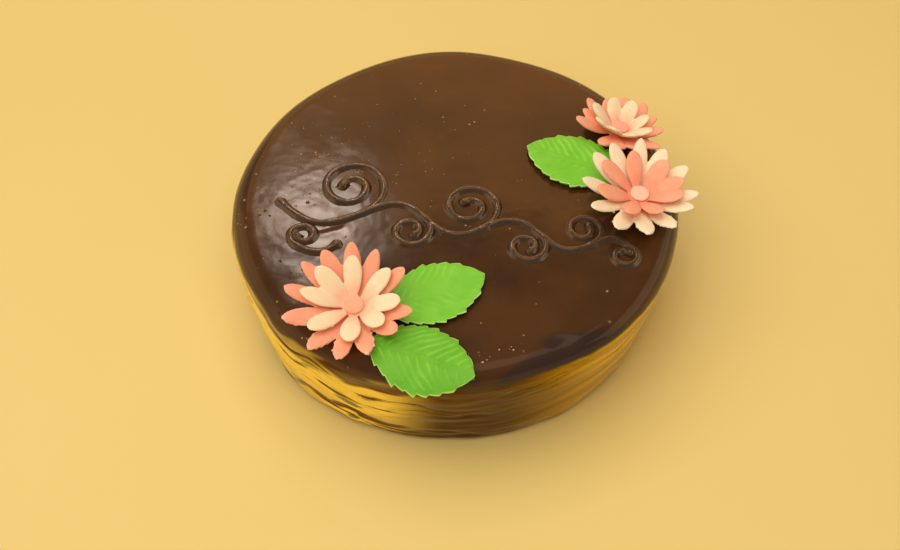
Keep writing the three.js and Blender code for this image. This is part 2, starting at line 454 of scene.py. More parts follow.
def new_group(
    name: str, inputs: Sequence[tuple[str, str, object]], outputs: Sequence[tuple[str, str]],
) -> Graph:
    """Starts a shader node group with named sockets.

    Args:
        name: The group's name.
        inputs: A name, a socket kind and a start value for each input.
        outputs: A name and a socket kind for each output.

    Returns:
        A graph that writes into the group.
    """
    tree = bpy.data.node_groups.new(name, "ShaderNodeTree")
    for label, kind, value in inputs:
        socket = tree.interface.new_socket(name=label, in_out="INPUT", socket_type=kind)
        if value is not None:
            socket.default_value = value
    for label, kind in outputs:
        tree.interface.new_socket(name=label, in_out="OUTPUT", socket_type=kind)
    return Graph(tree)


def speck_group() -> bpy.types.NodeTree:
    """Small round specks or bubbles, scattered unevenly.

    Returns:
        A group with Vector, Scale, Size and Share inputs and a Mask output.
    """
    graph = new_group(
        "scattered_specks",
        [
            ("Vector", "NodeSocketVector", None),
            ("Scale", "NodeSocketFloat", 300.0),
            ("Size", "NodeSocketFloat", 0.2),
            ("Share", "NodeSocketFloat", 0.2),
        ],
        [("Mask", "NodeSocketFloat")],
    )
    given = graph.add("NodeGroupInput")
    cells = graph.add("ShaderNodeTexVoronoi")
    graph.feed(cells.inputs["Vector"], given.outputs["Vector"])
    graph.feed(cells.inputs["Scale"], given.outputs["Scale"])
    apart = graph.add("ShaderNodeSeparateColor")
    graph.feed(apart.inputs[0], cells.outputs["Color"])
    chosen = graph.maths("LESS_THAN", apart.outputs[0], given.outputs["Share"])
    size = graph.maths("MULTIPLY", given.outputs["Size"], graph.maths("ADD", apart.outputs[1], 0.45))
    inside = graph.maths("SUBTRACT", 1.0, graph.maths("DIVIDE", cells.outputs["Distance"], size), clamp=True)
    left = graph.add("NodeGroupOutput")
    graph.feed(left.inputs["Mask"], graph.maths("MULTIPLY", inside, chosen))
    return graph.tree


def grain_group() -> bpy.types.NodeTree:
    """Fine powdery grain with a broader unevenness.

    Returns:
        A group with Vector, Fine and Broad inputs and Height and Tone outputs.
    """
    graph = new_group(
        "paste_grain",
        [
            ("Vector", "NodeSocketVector", None),
            ("Fine", "NodeSocketFloat", 2500.0),
            ("Broad", "NodeSocketFloat", 260.0),
        ],
        [("Height", "NodeSocketFloat"), ("Tone", "NodeSocketFloat")],
    )
    given = graph.add("NodeGroupInput")
    fine = graph.cloud(given.outputs["Vector"], given.outputs["Fine"], 2.0)
    broad = graph.cloud(given.outputs["Vector"], given.outputs["Broad"], 4.0, 0.6)
    left = graph.add("NodeGroupOutput")
    graph.feed(left.inputs["Height"], graph.maths("ADD", graph.maths("MULTIPLY", fine, 0.3), broad))
    graph.feed(left.inputs["Tone"], graph.spread(broad, 0.35, 0.65))
    return graph.tree


@dataclass(frozen=True)
class SharedGroups:
    """The node groups that several finishes use."""

    specks: bpy.types.NodeTree
    grain: bpy.types.NodeTree


def start_material(name: str) -> tuple[bpy.types.Material, Graph, bpy.types.Node, Socket]:
    """Starts a material with one Principled shader.

    Args:
        name: The material's name.

    Returns:
        The material, its graph, its shader node and its object coordinates.
    """
    material = bpy.data.materials.new(name)
    material.use_nodes = True
    material.node_tree.nodes.clear()
    graph = Graph(material.node_tree)
    shader = graph.add("ShaderNodeBsdfPrincipled")
    out = graph.add("ShaderNodeOutputMaterial")
    graph.feed(out.inputs["Surface"], shader.outputs[0])
    place = graph.add("ShaderNodeTexCoord")
    return material, graph, shader, place.outputs["Object"]


def grain_finish(
    graph: Graph, shader: bpy.types.Node, grain: bpy.types.Node, depth: float, rough: tuple[float, float],
) -> None:
    """Gives a shader the relief and the roughness of the shared grain.

    Args:
        graph: The material's graph.
        shader: Its shader.
        grain: The placed grain group.
        depth: How deep the relief is, in metres.
        rough: The roughness where the grain's tone is lowest and where it is highest.
    """
    bump = graph.add("ShaderNodeBump")
    bump.inputs["Distance"].default_value = depth
    graph.feed(bump.inputs["Height"], grain.outputs["Height"])
    graph.feed(shader.inputs["Normal"], bump.outputs[0])
    graph.feed(shader.inputs["Roughness"], graph.spread(grain.outputs["Tone"], 0.0, 1.0, *rough))


# ---- finishes -------------------------------------------------------------------------------------
@dataclass(frozen=True)
class PouredGlaze:
    """Dark chocolate glaze: glossy and full of fine bubbles on top, streaked round the side and tinted there
    with a painted reflection.
    """

    groups: SharedGroups
    deep: Colour = srgb(60, 36, 16)
    warm: Colour = srgb(80, 47, 17)
    # The next three tones tint the metal gloss of the side: a painted reflection, dark at the front's middle.
    wall: Colour = srgb(92, 56, 0)
    painted_gold_reflection: Colour = srgb(254, 230, 120)
    painted_amber_reflection: Colour = srgb(240, 200, 36)
    painted_hollow_shade: Colour = srgb(45, 34, 32)
    bubble: Colour = srgb(188, 150, 110)
    painted_pit_shade: Colour = srgb(34, 22, 12)
    height: float = 0.0628
    rim: float = 0.010

    def make(self) -> bpy.types.Material:
        """Builds the glaze material, which reads the crest and pool marks.

        Returns:
            The material.
        """
        material, graph, shader, place = start_material("poured_glaze")
        axes = graph.add("ShaderNodeSeparateXYZ")
        graph.feed(axes.inputs[0], place)
        x, y, z = axes.outputs
        waver = graph.spread(graph.cloud(place, 30.0, 2.0), 0.3, 0.7, -0.0016, 0.0016)
        edge = graph.maths("ADD", z, waver)
        on_top = graph.spread(edge, self.height - self.rim * 0.86, self.height - self.rim * 0.66)
        leftward = graph.spread(x, 0.0, -0.075)
        swirl = graph.cloud(place, 16.0, 4.0, 0.55)
        top_tone = graph.mix(graph.spread(swirl, 0.35, 0.68), self.deep, self.warm)
        bubbles = self.bubbles(graph, place, on_top, leftward)
        pits = self.pits(graph, place, on_top, x, y)
        top_tone = graph.mix(graph.spread(bubbles, 0.1, 0.75, 0.0, 0.7), top_tone, self.bubble)
        # Dark colour in the pits: painted shade.
        top_tone = graph.mix(graph.spread(pits, 0.1, 0.7, 0.0, 0.8), top_tone, self.painted_pit_shade)
        # A painted shade darkens the dent near the front rim and a crescent along the rim.
        pool = graph.add("ShaderNodeAttribute", attribute_name="pool")
        top_tone = graph.mix(graph.maths("MULTIPLY", pool.outputs["Fac"], 0.75), top_tone, self.painted_hollow_shade)

        streaks = graph.cloud(graph.stretched(place, (20, 20, 300), (0.05, -0.05, 0)), 1.0, 3.0, 0.5)
        # The side's painted reflection dims at the foot: a painted contact shadow.
        above_foot_shadow = graph.spread(edge, 0.001, 0.0055, 0.25, 1.0)
        # Near the rim at the left the painted reflection grows dimmer; on the right it reaches the rim.
        ragged_z = graph.maths("ADD", z, graph.spread(graph.cloud(place, 26.0, 2.0), 0.3, 0.7, -0.007, 0.007))
        below_rim = graph.spread(ragged_z, 0.055, 0.041, 0.3, 1.0)
        shaded = graph.maths("MAXIMUM", below_rim, graph.spread(x, -0.02, 0.03))
        within = graph.maths("MULTIPLY", above_foot_shadow, shaded)
        # sheen is the share of the painted reflection on the side.
        sheen = graph.maths("MULTIPLY", self.sheen(graph, place, x, y, streaks), within, clamp=True)
        # The side's base: at the front a dark metal tint, part of the painted reflection; towards the back
        # the glaze's deep brown.
        wall_tone = graph.mix(graph.spread(swirl, 0.3, 0.7, 0.0, 0.35), self.wall, self.deep)
        behind = graph.spread(y, -0.01, 0.045)
        wall_tone = graph.mix(graph.maths("MULTIPLY", behind, 0.8), wall_tone, self.deep)
        # Tones of the painted reflection on the side, yellower at the left.
        painted_reflection_tone = graph.mix(graph.spread(x, -0.02, 0.04), self.painted_gold_reflection, self.painted_amber_reflection)
        tone = graph.mix(on_top, graph.mix(sheen, wall_tone, painted_reflection_tone), top_tone)
        graph.feed(shader.inputs["Base Color"], tone)
        # A metal gloss on the side carries the painted reflection; it is weaker at the back.
        mirroring = graph.spread(behind, 0.0, 1.0, 0.95, 0.35)
        on_side = graph.maths("SUBTRACT", 1.0, on_top)
        graph.feed(shader.inputs["Metallic"], graph.maths("MULTIPLY", on_side, mirroring))
        normal = self.relief(graph, place, on_top, leftward, bubbles, pits, streaks)
        graph.feed(shader.inputs["Normal"], normal)
        haze = graph.cloud(place, 55.0, 4.0, 0.6)
        graph.feed(shader.inputs["Roughness"], graph.spread(haze, 0.3, 0.7, 0.10, 0.17))
        shader.inputs["IOR"].default_value = 1.5
        return material

    def sheen(self, graph: Graph, place: Socket, x: Socket, y: Socket, streaks: Socket) -> Socket:
        """The side's painted reflection: stronger on crests than grooves, most at the left, least mid-front.

        Args:
            graph: The material's graph.
            place: Object coordinates.
            x: Their X part.
            y: Their Y part.
            streaks: The pattern of the combed lines.

        Returns:
            A mask of the painted reflection.
        """
        # Fold crests get more of the painted reflection than grooves: a painted highlight.
        crest = graph.add("ShaderNodeAttribute", attribute_name="crest")
        long_streaks = graph.cloud(graph.stretched(place, (10, 10, 95), (0.06, 0.04, 0)), 1.0, 4.0, 0.55)
        bright = graph.maths("ADD", crest.outputs["Fac"], graph.spread(long_streaks, 0.34, 0.66, -0.3, 0.3))
        bright = graph.maths("ADD", bright, graph.spread(streaks, 0.3, 0.7, -0.1, 0.1))
        bright = graph.spread(bright, 0.08, 0.62, 0.06, 1.3)
        blotches = graph.cloud(graph.stretched(place, (14, 14, 52), (0.05, 0.06, 0)), 1.0, 3.0, 0.5)
        soft = graph.spread(blotches, 0.34, 0.56, 0.5, 0.95)
        calm = graph.spread(x, 0.0, 0.045, 0.0, 0.68)
        softer = graph.maths("MULTIPLY", graph.maths("SUBTRACT", soft, bright), calm)
        bright = graph.maths("ADD", bright, softer)
        # The painted reflection is strongest at the left, weaker at the right, least mid-front and at the
        # back.
        left = graph.spread(x, -0.004, -0.048, 0.0, 1.1)
        right = graph.spread(x, 0.02, 0.09, 0.0, 1.0)
        back = graph.spread(y, -0.05, 0.05, 0.0, 0.04)
        forward = graph.spread(y, -0.026, 0.036, 1.0, 0.04)
        sides = graph.maths("MULTIPLY", graph.maths("MAXIMUM", left, right), forward)
        facing = graph.maths("MAXIMUM", sides, back)
        return graph.maths("MULTIPLY", graph.maths("ADD", facing, 0.03), bright)

    def pits(self, graph: Graph, place: Socket, on_top: Socket, x: Socket, y: Socket) -> Socket:
        """Small pits where bubbles broke, in the smooth patch at the left; their dark colour is painted
        shade.

        Args:
            graph: The material's graph.
            place: Object coordinates.
            on_top: A mask of the top.
            x: The X part of the coordinates.
            y: Their Y part.

        Returns:
            A mask of the pits.
        """
        patch = graph.maths("MULTIPLY", graph.spread(x, -0.045, -0.065), graph.spread(y, 0.012, -0.004))
        share = graph.maths("MULTIPLY", patch, 0.16)
        moved = graph.stretched(place, (1, 1, 1), (0, 0, 0.7))
        found = graph.use(self.groups.specks, Vector=moved, Scale=250.0, Size=0.22, Share=share)
        return graph.maths("MULTIPLY", found.outputs[0], on_top)

    def bubbles(self, graph: Graph, place: Socket, on_top: Socket, leftward: Socket) -> Socket:
        """Fine bubbles that rose to the top, more of them towards the left.

        Args:
            graph: The material's graph.
            place: Object coordinates.
            on_top: A mask of the top.
            leftward: A mask that grows to the left.

        Returns:
            A mask of the bubbles.
        """
        share = graph.maths("ADD", graph.maths("MULTIPLY", leftward, 0.05), 0.012)
        small = graph.use(self.groups.specks, Vector=place, Scale=470.0, Size=0.3, Share=share)
        few = graph.maths("MULTIPLY", share, 0.6)
        large = graph.use(self.groups.specks, Vector=place, Scale=210.0, Size=0.19, Share=few)
        return graph.maths("MULTIPLY", graph.maths("MAXIMUM", small.outputs[0], large.outputs[0]), on_top)

    def relief(
        self, graph: Graph, place: Socket, on_top: Socket, leftward: Socket, bubbles: Socket, pits: Socket,
        streaks: Socket,
    ) -> Socket:
        """Fine relief: combed lines round the side, a soft skin on the top, the bubbles and the pits.

        Args:
            graph: The material's graph.
            place: Object coordinates.
            on_top: A mask of the top.
            leftward: A mask that grows to the left.
            bubbles: A mask of the bubbles.
            pits: A mask of the pits.
            streaks: The pattern of the combed lines.

        Returns:
            The bent normal.
        """
        combed = graph.spread(leftward, 0.0, 0.5, 0.45, 1.0)
        side = graph.add("ShaderNodeBump")
        side.inputs["Distance"].default_value = 0.00045
        on_side = graph.maths("SUBTRACT", 1.0, on_top)
        graph.feed(side.inputs["Strength"], graph.maths("MULTIPLY", on_side, combed))
        graph.feed(side.inputs["Height"], streaks)
        skin = graph.cloud(place, 60.0, 2.0, 0.45)
        dimples = graph.cloud(place, 330.0, 1.0, 0.4)
        rough_left = graph.maths("ADD", graph.maths("MULTIPLY", leftward, 0.013), 0.007)
        dimples = graph.maths("MULTIPLY", dimples, rough_left)
        skin = graph.maths("ADD", graph.maths("MULTIPLY", skin, 0.3), dimples)
        top = graph.add("ShaderNodeBump")
        top.inputs["Distance"].default_value = 0.0008
        graph.feed(top.inputs["Strength"], on_top)
        graph.feed(top.inputs["Height"], skin)
        graph.feed(top.inputs["Normal"], side.outputs[0])
        dots = graph.add("ShaderNodeBump")
        dots.inputs["Distance"].default_value = 0.0003
        graph.feed(dots.inputs["Height"], graph.maths("SUBTRACT", bubbles, pits))
        graph.feed(dots.inputs["Normal"], top.outputs[0])
        return dots.outputs[0]


@dataclass(frozen=True)
class PipedChocolate:
    """The piped line: darker and glossier than the glaze it lies on."""

    groups: SharedGroups
    deep: Colour = srgb(44, 26, 12)
    warm: Colour = srgb(76, 45, 18)

    def make(self) -> bpy.types.Material:
        """Builds the piping material.

        Returns:
            The material.
        """
        material, graph, shader, place = start_material("piped_chocolate")
        swirl = graph.cloud(place, 60.0, 3.0)
        graph.feed(shader.inputs["Base Color"], graph.mix(swirl, self.deep, self.warm))
        grain = graph.use(self.groups.grain, Vector=place, Fine=1500.0, Broad=240.0)
        grain_finish(graph, shader, grain, 0.0002, (0.12, 0.2))
        shader.inputs["IOR"].default_value = 2.0
        return material


@dataclass(frozen=True)
class BubbleSkin:
    """The thin pale skin of a bubble in the glaze."""

    groups: SharedGroups
    pale: Colour = srgb(205, 160, 118)
    brown: Colour = srgb(120, 80, 46)

    def make(self) -> bpy.types.Material:
        """Builds the bubble material, each bubble paler or browner.

        Returns:
            The material.
        """
        material, graph, shader, place = start_material("bubble_skin")
        patch = graph.spread(graph.cloud(place, 160.0, 1.0), 0.35, 0.65)
        graph.feed(shader.inputs["Base Color"], graph.mix(patch, self.brown, self.pale))
        grain = graph.use(self.groups.grain, Vector=place, Fine=2600.0, Broad=900.0)
        grain_finish(graph, shader, grain, 0.0001, (0.12, 0.25))
        return material


@dataclass(frozen=True)
class LeafPaste:
    """Bright green sugar paste: its paler upper cut edge is partly a painted highlight, its darker green
    between the raised vein lines painted shade.
    """

    groups: SharedGroups
    label: str = "green_sugar_paste"
    green: Colour = srgb(137, 211, 60)
    deep: Colour = srgb(114, 192, 38)
    pale: Colour = srgb(200, 240, 130)

    def make(self) -> bpy.types.Material:
        """Builds the leaf material, which reads the vein and rim marks.

        Returns:
            The material.
        """
        material, graph, shader, place = start_material(self.label)
        vein = graph.add("ShaderNodeAttribute", attribute_name="vein")
        rim = graph.add("ShaderNodeAttribute", attribute_name="rim")
        grain = graph.use(self.groups.grain, Vector=place, Fine=2600.0, Broad=110.0)
        # Darker green between the raised vein lines: painted shade.
        tone = graph.mix(graph.spread(vein.outputs["Fac"], 0.1, 0.95), self.deep, self.green)
        tone = graph.mix(graph.maths("MULTIPLY", grain.outputs["Tone"], 0.1), tone, self.pale)
        # Paler along the upper cut edge: partly the cut paste, partly a painted highlight.
        tone = graph.mix(graph.spread(rim.outputs["Fac"], 0.45, 1.0, 0.0, 0.8), tone, self.pale)
        graph.feed(shader.inputs["Base Color"], tone)
        grain_finish(graph, shader, grain, 0.00022, (0.42, 0.56))
        shader.inputs["Subsurface Weight"].default_value = 0.12
        shader.inputs["Subsurface Radius"].default_value = (0.5, 1.0, 0.2)
        shader.inputs["Subsurface Scale"].default_value = 0.001
        return material


class Paste(Enum):
    """The sugar pastes of the petals, each with its body, its tint towards the hub and its paler edge tone,
    partly a painted highlight.
    """

    CORAL = ("coral", srgb(253, 165, 128), srgb(250, 150, 116), srgb(254, 196, 162))
    CREAM = ("cream", srgb(251, 221, 178), srgb(253, 192, 156), srgb(253, 232, 198))
    PALE = ("pale", srgb(251, 225, 184), srgb(252, 206, 168), srgb(252, 236, 204))
    PEACH = ("peach", srgb(251, 196, 164), srgb(250, 186, 152), srgb(253, 212, 184))


@dataclass(frozen=True)
class PetalPaste:
    """Matt, slightly waxy sugar paste whose colour shifts from hub to tip."""

    groups: SharedGroups
    paste: Paste

    def make(self) -> bpy.types.Material:
        """Builds a petal material, which reads the along and rim marks.

        Returns:
            The material.
        """
        label, body, root, edge_and_highlight_tone = self.paste.value
        material, graph, shader, place = start_material(f"{label}_sugar_paste")
        along = graph.add("ShaderNodeAttribute", attribute_name="along")
        rim = graph.add("ShaderNodeAttribute", attribute_name="rim")
        grain = graph.use(self.groups.grain, Vector=place, Fine=2200.0, Broad=180.0)
        tone = graph.mix(graph.spread(along.outputs["Fac"], 0.05, 0.5), root, body)
        tone = graph.mix(graph.maths("MULTIPLY", grain.outputs["Tone"], 0.25), tone, edge_and_highlight_tone)
        # Paler edges: partly the torn paste, partly a painted highlight.
        tone = graph.mix(graph.spread(rim.outputs["Fac"], 0.5, 1.0, 0.0, 0.55), tone, edge_and_highlight_tone)
        graph.feed(shader.inputs["Base Color"], tone)
        grain_finish(graph, shader, grain, 0.0002, (0.5, 0.64))
        shader.inputs["Subsurface Weight"].default_value = 0.2
        shader.inputs["Subsurface Radius"].default_value = (1.0, 0.5, 0.3)
        shader.inputs["Subsurface Scale"].default_value = 0.0015
        return material


@dataclass(frozen=True)
class TableTop:
    """The plain pale floor that the cake stands on."""

    pale: Colour = srgb(235, 206, 127)
    deep: Colour = srgb(231, 199, 116)

    def make(self) -> bpy.types.Material:
        """Builds the floor material.

        Returns:
            The material.
        """
        material, graph, shader, place = start_material("pale_floor")
        graph.feed(shader.inputs["Base Color"], graph.mix(graph.cloud(place, 3.0, 3.0), self.pale, self.deep))
        shader.inputs["Roughness"].default_value = 0.6
        return material


# ---- the cake -------------------------------------------------------------------------------------
@dataclass(frozen=True)
class Fold:
    """A long fold that the palette knife left in the side: degrees round it, the rest in millimetres."""

    azimuth: float
    height: float
    span: float
    slant: float
    depth: float
    width: float
    phase: float = 0.0

    def relief(self, azimuth: np.ndarray, z: np.ndarray) -> np.ndarray:
        """How far the fold stands out at places on the wall.

        Args:
            azimuth: Degrees round the cake.
            z: Heights in millimetres.

        Returns:
            Millimetres outwards for each place.
        """
        turn = (azimuth - self.azimuth + 180) % 360 - 180
        share = turn / self.span
        fade = np.exp(-(share ** 2) * 1.6)
        line = self.height + self.slant * share + 0.9 * np.sin(share * 5 + self.phase)
        across = (z - line) / self.width
        crest = np.exp(-(across ** 2)) - 0.6 * np.exp(-(((across - 1.5) / 1.1) ** 2))
        return self.depth * fade * crest


@dataclass
class GlazedCake:
    """The cake under its glaze: a drum that leans out to its top, with a rounded rim."""

    finish: bpy.types.Material
    height: float = 0.0628
    foot_radius: float = 0.1028
    top_radius: float = 0.1099
    rim: float = 0.010
    shift: float = 0.001
    sectors: int = 520
    wall_steps: int = 80
    rim_steps: int = 16
    top_rings: int = 72
    foot_round: float = 0.002
    waves: Sequence[tuple[int, float, float]] = ((2, 0.5, 0.7), (3, 0.6, 2.1), (5, 0.45, 0.4), (8, 0.25, 1.3))

    def folds(self) -> list[Fold]:
        """The folds of the side: deep and close at the left, few and faint at the right of the front.

        Returns:
            The folds, the listed ones first.
        """
        draw = np.random.default_rng(11)
        found = [
            Fold(-67, 49.5, 9, 1.5, -1.5, 1.1),
            Fold(-60, 45, 12, 2.0, 0.7, 1.6),
            Fold(-40, 40, 22, 3.0, 0.6, 1.8),
            Fold(-50, 24, 24, 2.5, 0.45, 2.2),
            Fold(-128, 47, 14, -4.0, 1.0, 1.2),
            Fold(-140, 36, 22, -5.0, 1.2, 1.8),
            Fold(-118, 26, 16, -4.0, 1.1, 1.6),
            Fold(-146, 22, 20, -3.0, 1.0, 2.0),
            Fold(-105, 35, 9, -3.0, 0.8, 1.4),
        ]
        stretches = ((-175, -98, 32, 1.25), (-98, -20, 9, 0.4), (-20, 185, 44, 0.75))
        for low, high, count, depth in stretches:
            for _ in range(count):
                found.append(
                    Fold(
                        draw.uniform(low, high), draw.uniform(4, 50),
                        draw.uniform(6, 24), draw.uniform(-6, 2),
                        depth * draw.uniform(0.35, 1.1) * (1 if draw.random() < 0.75 else -1),
                        draw.uniform(1.0, 3.2), draw.uniform(0, TAU),
                    )
                )
        return found

    def profile(self) -> list[tuple[float, float]]:
        """The half section, radius and height, from the middle of the foot to the middle of the top.

        Returns:
            Radius and height of each corner, in metres.
        """
        wall_top = self.height - self.rim
        foot = self.foot_radius
        rows = [(0.0, 0.0), (foot * 0.5, 0.0), (foot - 0.0045, 0.0)]
        rows += [(foot - 0.0025, 0.0003), (foot - 0.0008, 0.0009), (foot, self.foot_round)]
        for step in range(1, self.wall_steps + 1):
            z = self.foot_round + (wall_top - self.foot_round) * step / self.wall_steps
            rows.append((foot + (self.top_radius - foot) * z / wall_top, z))
        for step in range(1, self.rim_steps + 1):
            angle = math.pi / 2 * step / self.rim_steps
            inwards, upwards = self.rim * (1 - math.cos(angle)), self.rim * math.sin(angle)
            rows.append((self.top_radius - inwards, wall_top + upwards))
        inner = self.top_radius - self.rim
        shares = [step / self.top_rings for step in range(1, self.top_rings + 1)]
        rows += [(inner * (1 - share ** 0.95), self.height) for share in shares]
        return rows

    def build(self) -> bpy.types.Object:
        """Spins the half section round, then spreads the glaze unevenly.

        Returns:
            The glazed cake.
        """
        deselect()
        bpy.ops.mesh.primitive_plane_add(size=0.01)
        piece = named("glazed_cake")
        rows = self.profile()
        bpy.ops.object.mode_set(mode="EDIT")
        bpy.ops.mesh.select_all(action="SELECT")
        bpy.ops.mesh.merge(type="CENTER")
        for (r0, z0), (r1, z1) in zip(rows, rows[1:], strict=False):
            bpy.ops.mesh.extrude_region_move(TRANSFORM_OT_translate={"value": (r1 - r0, 0, z1 - z0)})
        bpy.ops.mesh.select_all(action="SELECT")
        bpy.ops.mesh.spin(steps=self.sectors, angle=TAU, center=(0, 0, 0), axis=(0, 0, 1))
        bpy.ops.object.mode_set(mode="OBJECT")
        tidy_mesh(piece, 1e-5)
        self.spread_glaze(piece)
        smooth(piece)
        piece.data.materials.append(self.finish)
        return piece

    def side_skin(self, points: np.ndarray, degrees: np.ndarray) -> np.ndarray:
        """The folds and streaks of the side, most ragged at the left and calm right of the front.

        Args:
            points: Places on the plain cake, in metres.
            degrees: The azimuth of each place.

        Returns:
            Millimetres outwards for each place.
        """
        x, y, z = points.T
        leftish = np.exp(-(((degrees + 135) / 38) ** 2))
        bent = z + drift(points * (1.0, 1.0, 0.6), 34, 8.8, 2) * (0.003 + 0.005 * leftish)
        folds = sum(fold.relief(degrees, bent / MM) for fold in self.folds())
        streaky = np.stack([x * 0.7, y * 0.7, bent * 3.4 + 0.05 * y + 0.03 * x], 1)
        ragged = 0.3 + 0.5 * leftish - 0.18 * np.exp(-(((degrees + 45) / 32) ** 2))
        return folds * 0.8 + drift(streaky, 34, 3.1, 3) * ragged

    def pool_shade(self, x: np.ndarray, y: np.ndarray, degrees: np.ndarray) -> np.ndarray:
        """Where the top is painted dark, a painted shade: the dent, and a crescent along the rim beside it.

        Args:
            x: Places along X, in metres.
            y: Places along Y, in metres.
            degrees: The azimuth of each place.

        Returns:
            A share, 0 to 1, for each place.
        """
        painted_hollow_shade = 1 - smoothstep(0.55, 1.35, HOLLOW_SHADE.away(x, y))
        brink = 0.0993 + ((degrees + 62) / 14) ** 2 * 0.0055
        return np.maximum(painted_hollow_shade, smoothstep(brink - 0.0012, brink + 0.0022, np.hypot(x, y)))

    def spread_glaze(self, piece: bpy.types.Object) -> None:
        """Gives the outline, the wall, the rim and the top their unevenness.

        Args:
            piece: The plain spun cake.
        """
        points = positions(piece)
        x, y, z = points.T
        radius = np.hypot(x, y)
        azimuth = np.arctan2(y, x)
        outward = np.stack([np.cos(azimuth), np.sin(azimuth), np.zeros_like(z)], 1)
        near_wall = smoothstep(self.top_radius - self.rim * 2.2, self.top_radius - self.rim * 0.4, radius)
        foot_side = z < 0.0016
        near_wall[foot_side] = smoothstep(0.06, self.foot_radius - 0.001, radius[foot_side])
        offset = sum(depth * np.sin(count * azimuth + turn) for count, depth, turn in self.waves)

        near_rim = smoothstep(self.height - self.rim * 0.85, self.height - self.rim * 0.1, z)
        on_wall = smoothstep(0.0005, 0.008, z) * (1 - near_rim)
        degrees = np.degrees(azimuth)
        skin = self.side_skin(points, degrees)
        offset = offset + skin * on_wall
        offset = offset + drift(points, 14, 5.5, 2) * 1.1 * smoothstep(0.0, 0.012, z)
        around = np.stack([np.cos(azimuth), np.sin(azimuth), azimuth * 0], 1) * self.foot_radius
        hem = drift(around, 42, 1.7, 3)
        offset = offset + hem * 1.1 * (1 - smoothstep(0.001, 0.010, z))
        points = points + outward * (offset * near_wall * MM)[:, None]

        lifted = (1.1 + 1.6 * drift(around, 26, 6.2, 3)).clip(0) * MM
        hem_rows = (z < 0.012) * smoothstep(self.foot_radius - 0.004, self.foot_radius - 0.0006, radius)
        points[:, 2] += lifted * hem_rows * (1 - smoothstep(0.002, 0.012, z))
        on_top = smoothstep(self.height - self.rim * 0.7, self.height, z)
        points[:, 2] += glaze_swell(points[:, 0], points[:, 1]) * on_top
        points[:, 0] += self.shift * z / self.height
        points[:, 2] = np.maximum(points[:, 2], 0)
        move_to(piece, points)
        # The crest mark brightens fold crests in the painted reflection on the side.
        mark(piece, "crest", smoothstep(-0.55, 0.75, skin))
        # The pool mark carries the painted shade of the dent and the rim crescent.
        mark(piece, "pool", self.pool_shade(x, y, degrees))


@dataclass
class GlazeBubbles:
    """Tiny bubbles that set in the top of the glaze, crowded to the left: level and reach in metres.

    Sizes, drips and crowds are in millimetres, and a crowd ends with its share of the bubbles.
    """

    finish: bpy.types.Material
    count: int = 210
    level: float = 0.0628
    reach: float = 0.099
    smallest: float = 0.19
    growth: float = 0.36
    # These sit near the lower leaf's tip; their pale bubble colour also stands in for glints there: partly a
    # painted highlight.
    drips: Sequence[tuple[float, float, float]] = (
        (13.2, -98.6, 0.75), (15.1, -97.4, 0.6), (31.5, -92.6, 0.65),
    )
    crowds: Sequence[tuple[float, float, float, float, float]] = (
        (-66, 12, 20, 30, 0.5), (-30, 30, 40, 34, 0.25), (20, -95, 16, 5, 0.06), (0, 0, 95, 95, 0.19),
    )

    def build(self) -> bpy.types.Object:
        """Models one bubble, copies it over the top and joins the copies.

        Returns:
            All the bubbles as one piece.
        """
        deselect()
        bpy.ops.mesh.primitive_ico_sphere_add(subdivisions=1, radius=1)
        blank = named("bubble_blank")
        ball = positions(blank)
        draw = np.random.default_rng(5)
        bubbles = []
        shares = np.cumsum([crowd[4] for crowd in self.crowds])
        while len(bubbles) < self.count:
            crowd = self.crowds[int(np.searchsorted(shares, draw.random() * shares[-1]))]
            x = (crowd[0] + draw.normal() * crowd[2] * 0.6) * MM
            y = (crowd[1] + draw.normal() * crowd[3] * 0.6) * MM
            size = (self.smallest + self.growth * draw.random() ** 3) * MM
            if math.hypot(x, y) > self.reach:
                continue
            level = self.level + float(glaze_swell(np.array([x]), np.array([y]))[0])
            bubble = copy_of(blank)
            move_to(bubble, ball * (size, size, size * 0.7) + (x, y, level))
            bubbles.append(bubble)
        for x, y, size in self.drips:
            level = self.level + float(glaze_swell(np.array([x * MM]), np.array([y * MM]))[0])
            drip = copy_of(blank)
            move_to(drip, ball * (size * MM, size * 0.8 * MM, size * 0.7 * MM) + (x * MM, y * MM, level))
            bubbles.append(drip)
        bin_piece(blank)
        piece = join(bubbles, "glaze_bubbles")
        smooth(piece)
        piece.data.materials.append(self.finish)
        return piece


# ---- the piped scroll -----------------------------------------------------------------------------
@dataclass(frozen=True)
class Wave:
    """One wave of a scroll's stem and the tendril that it sends off, in millimetres."""

    length: float
    side: int
    curl: float
    turns: float


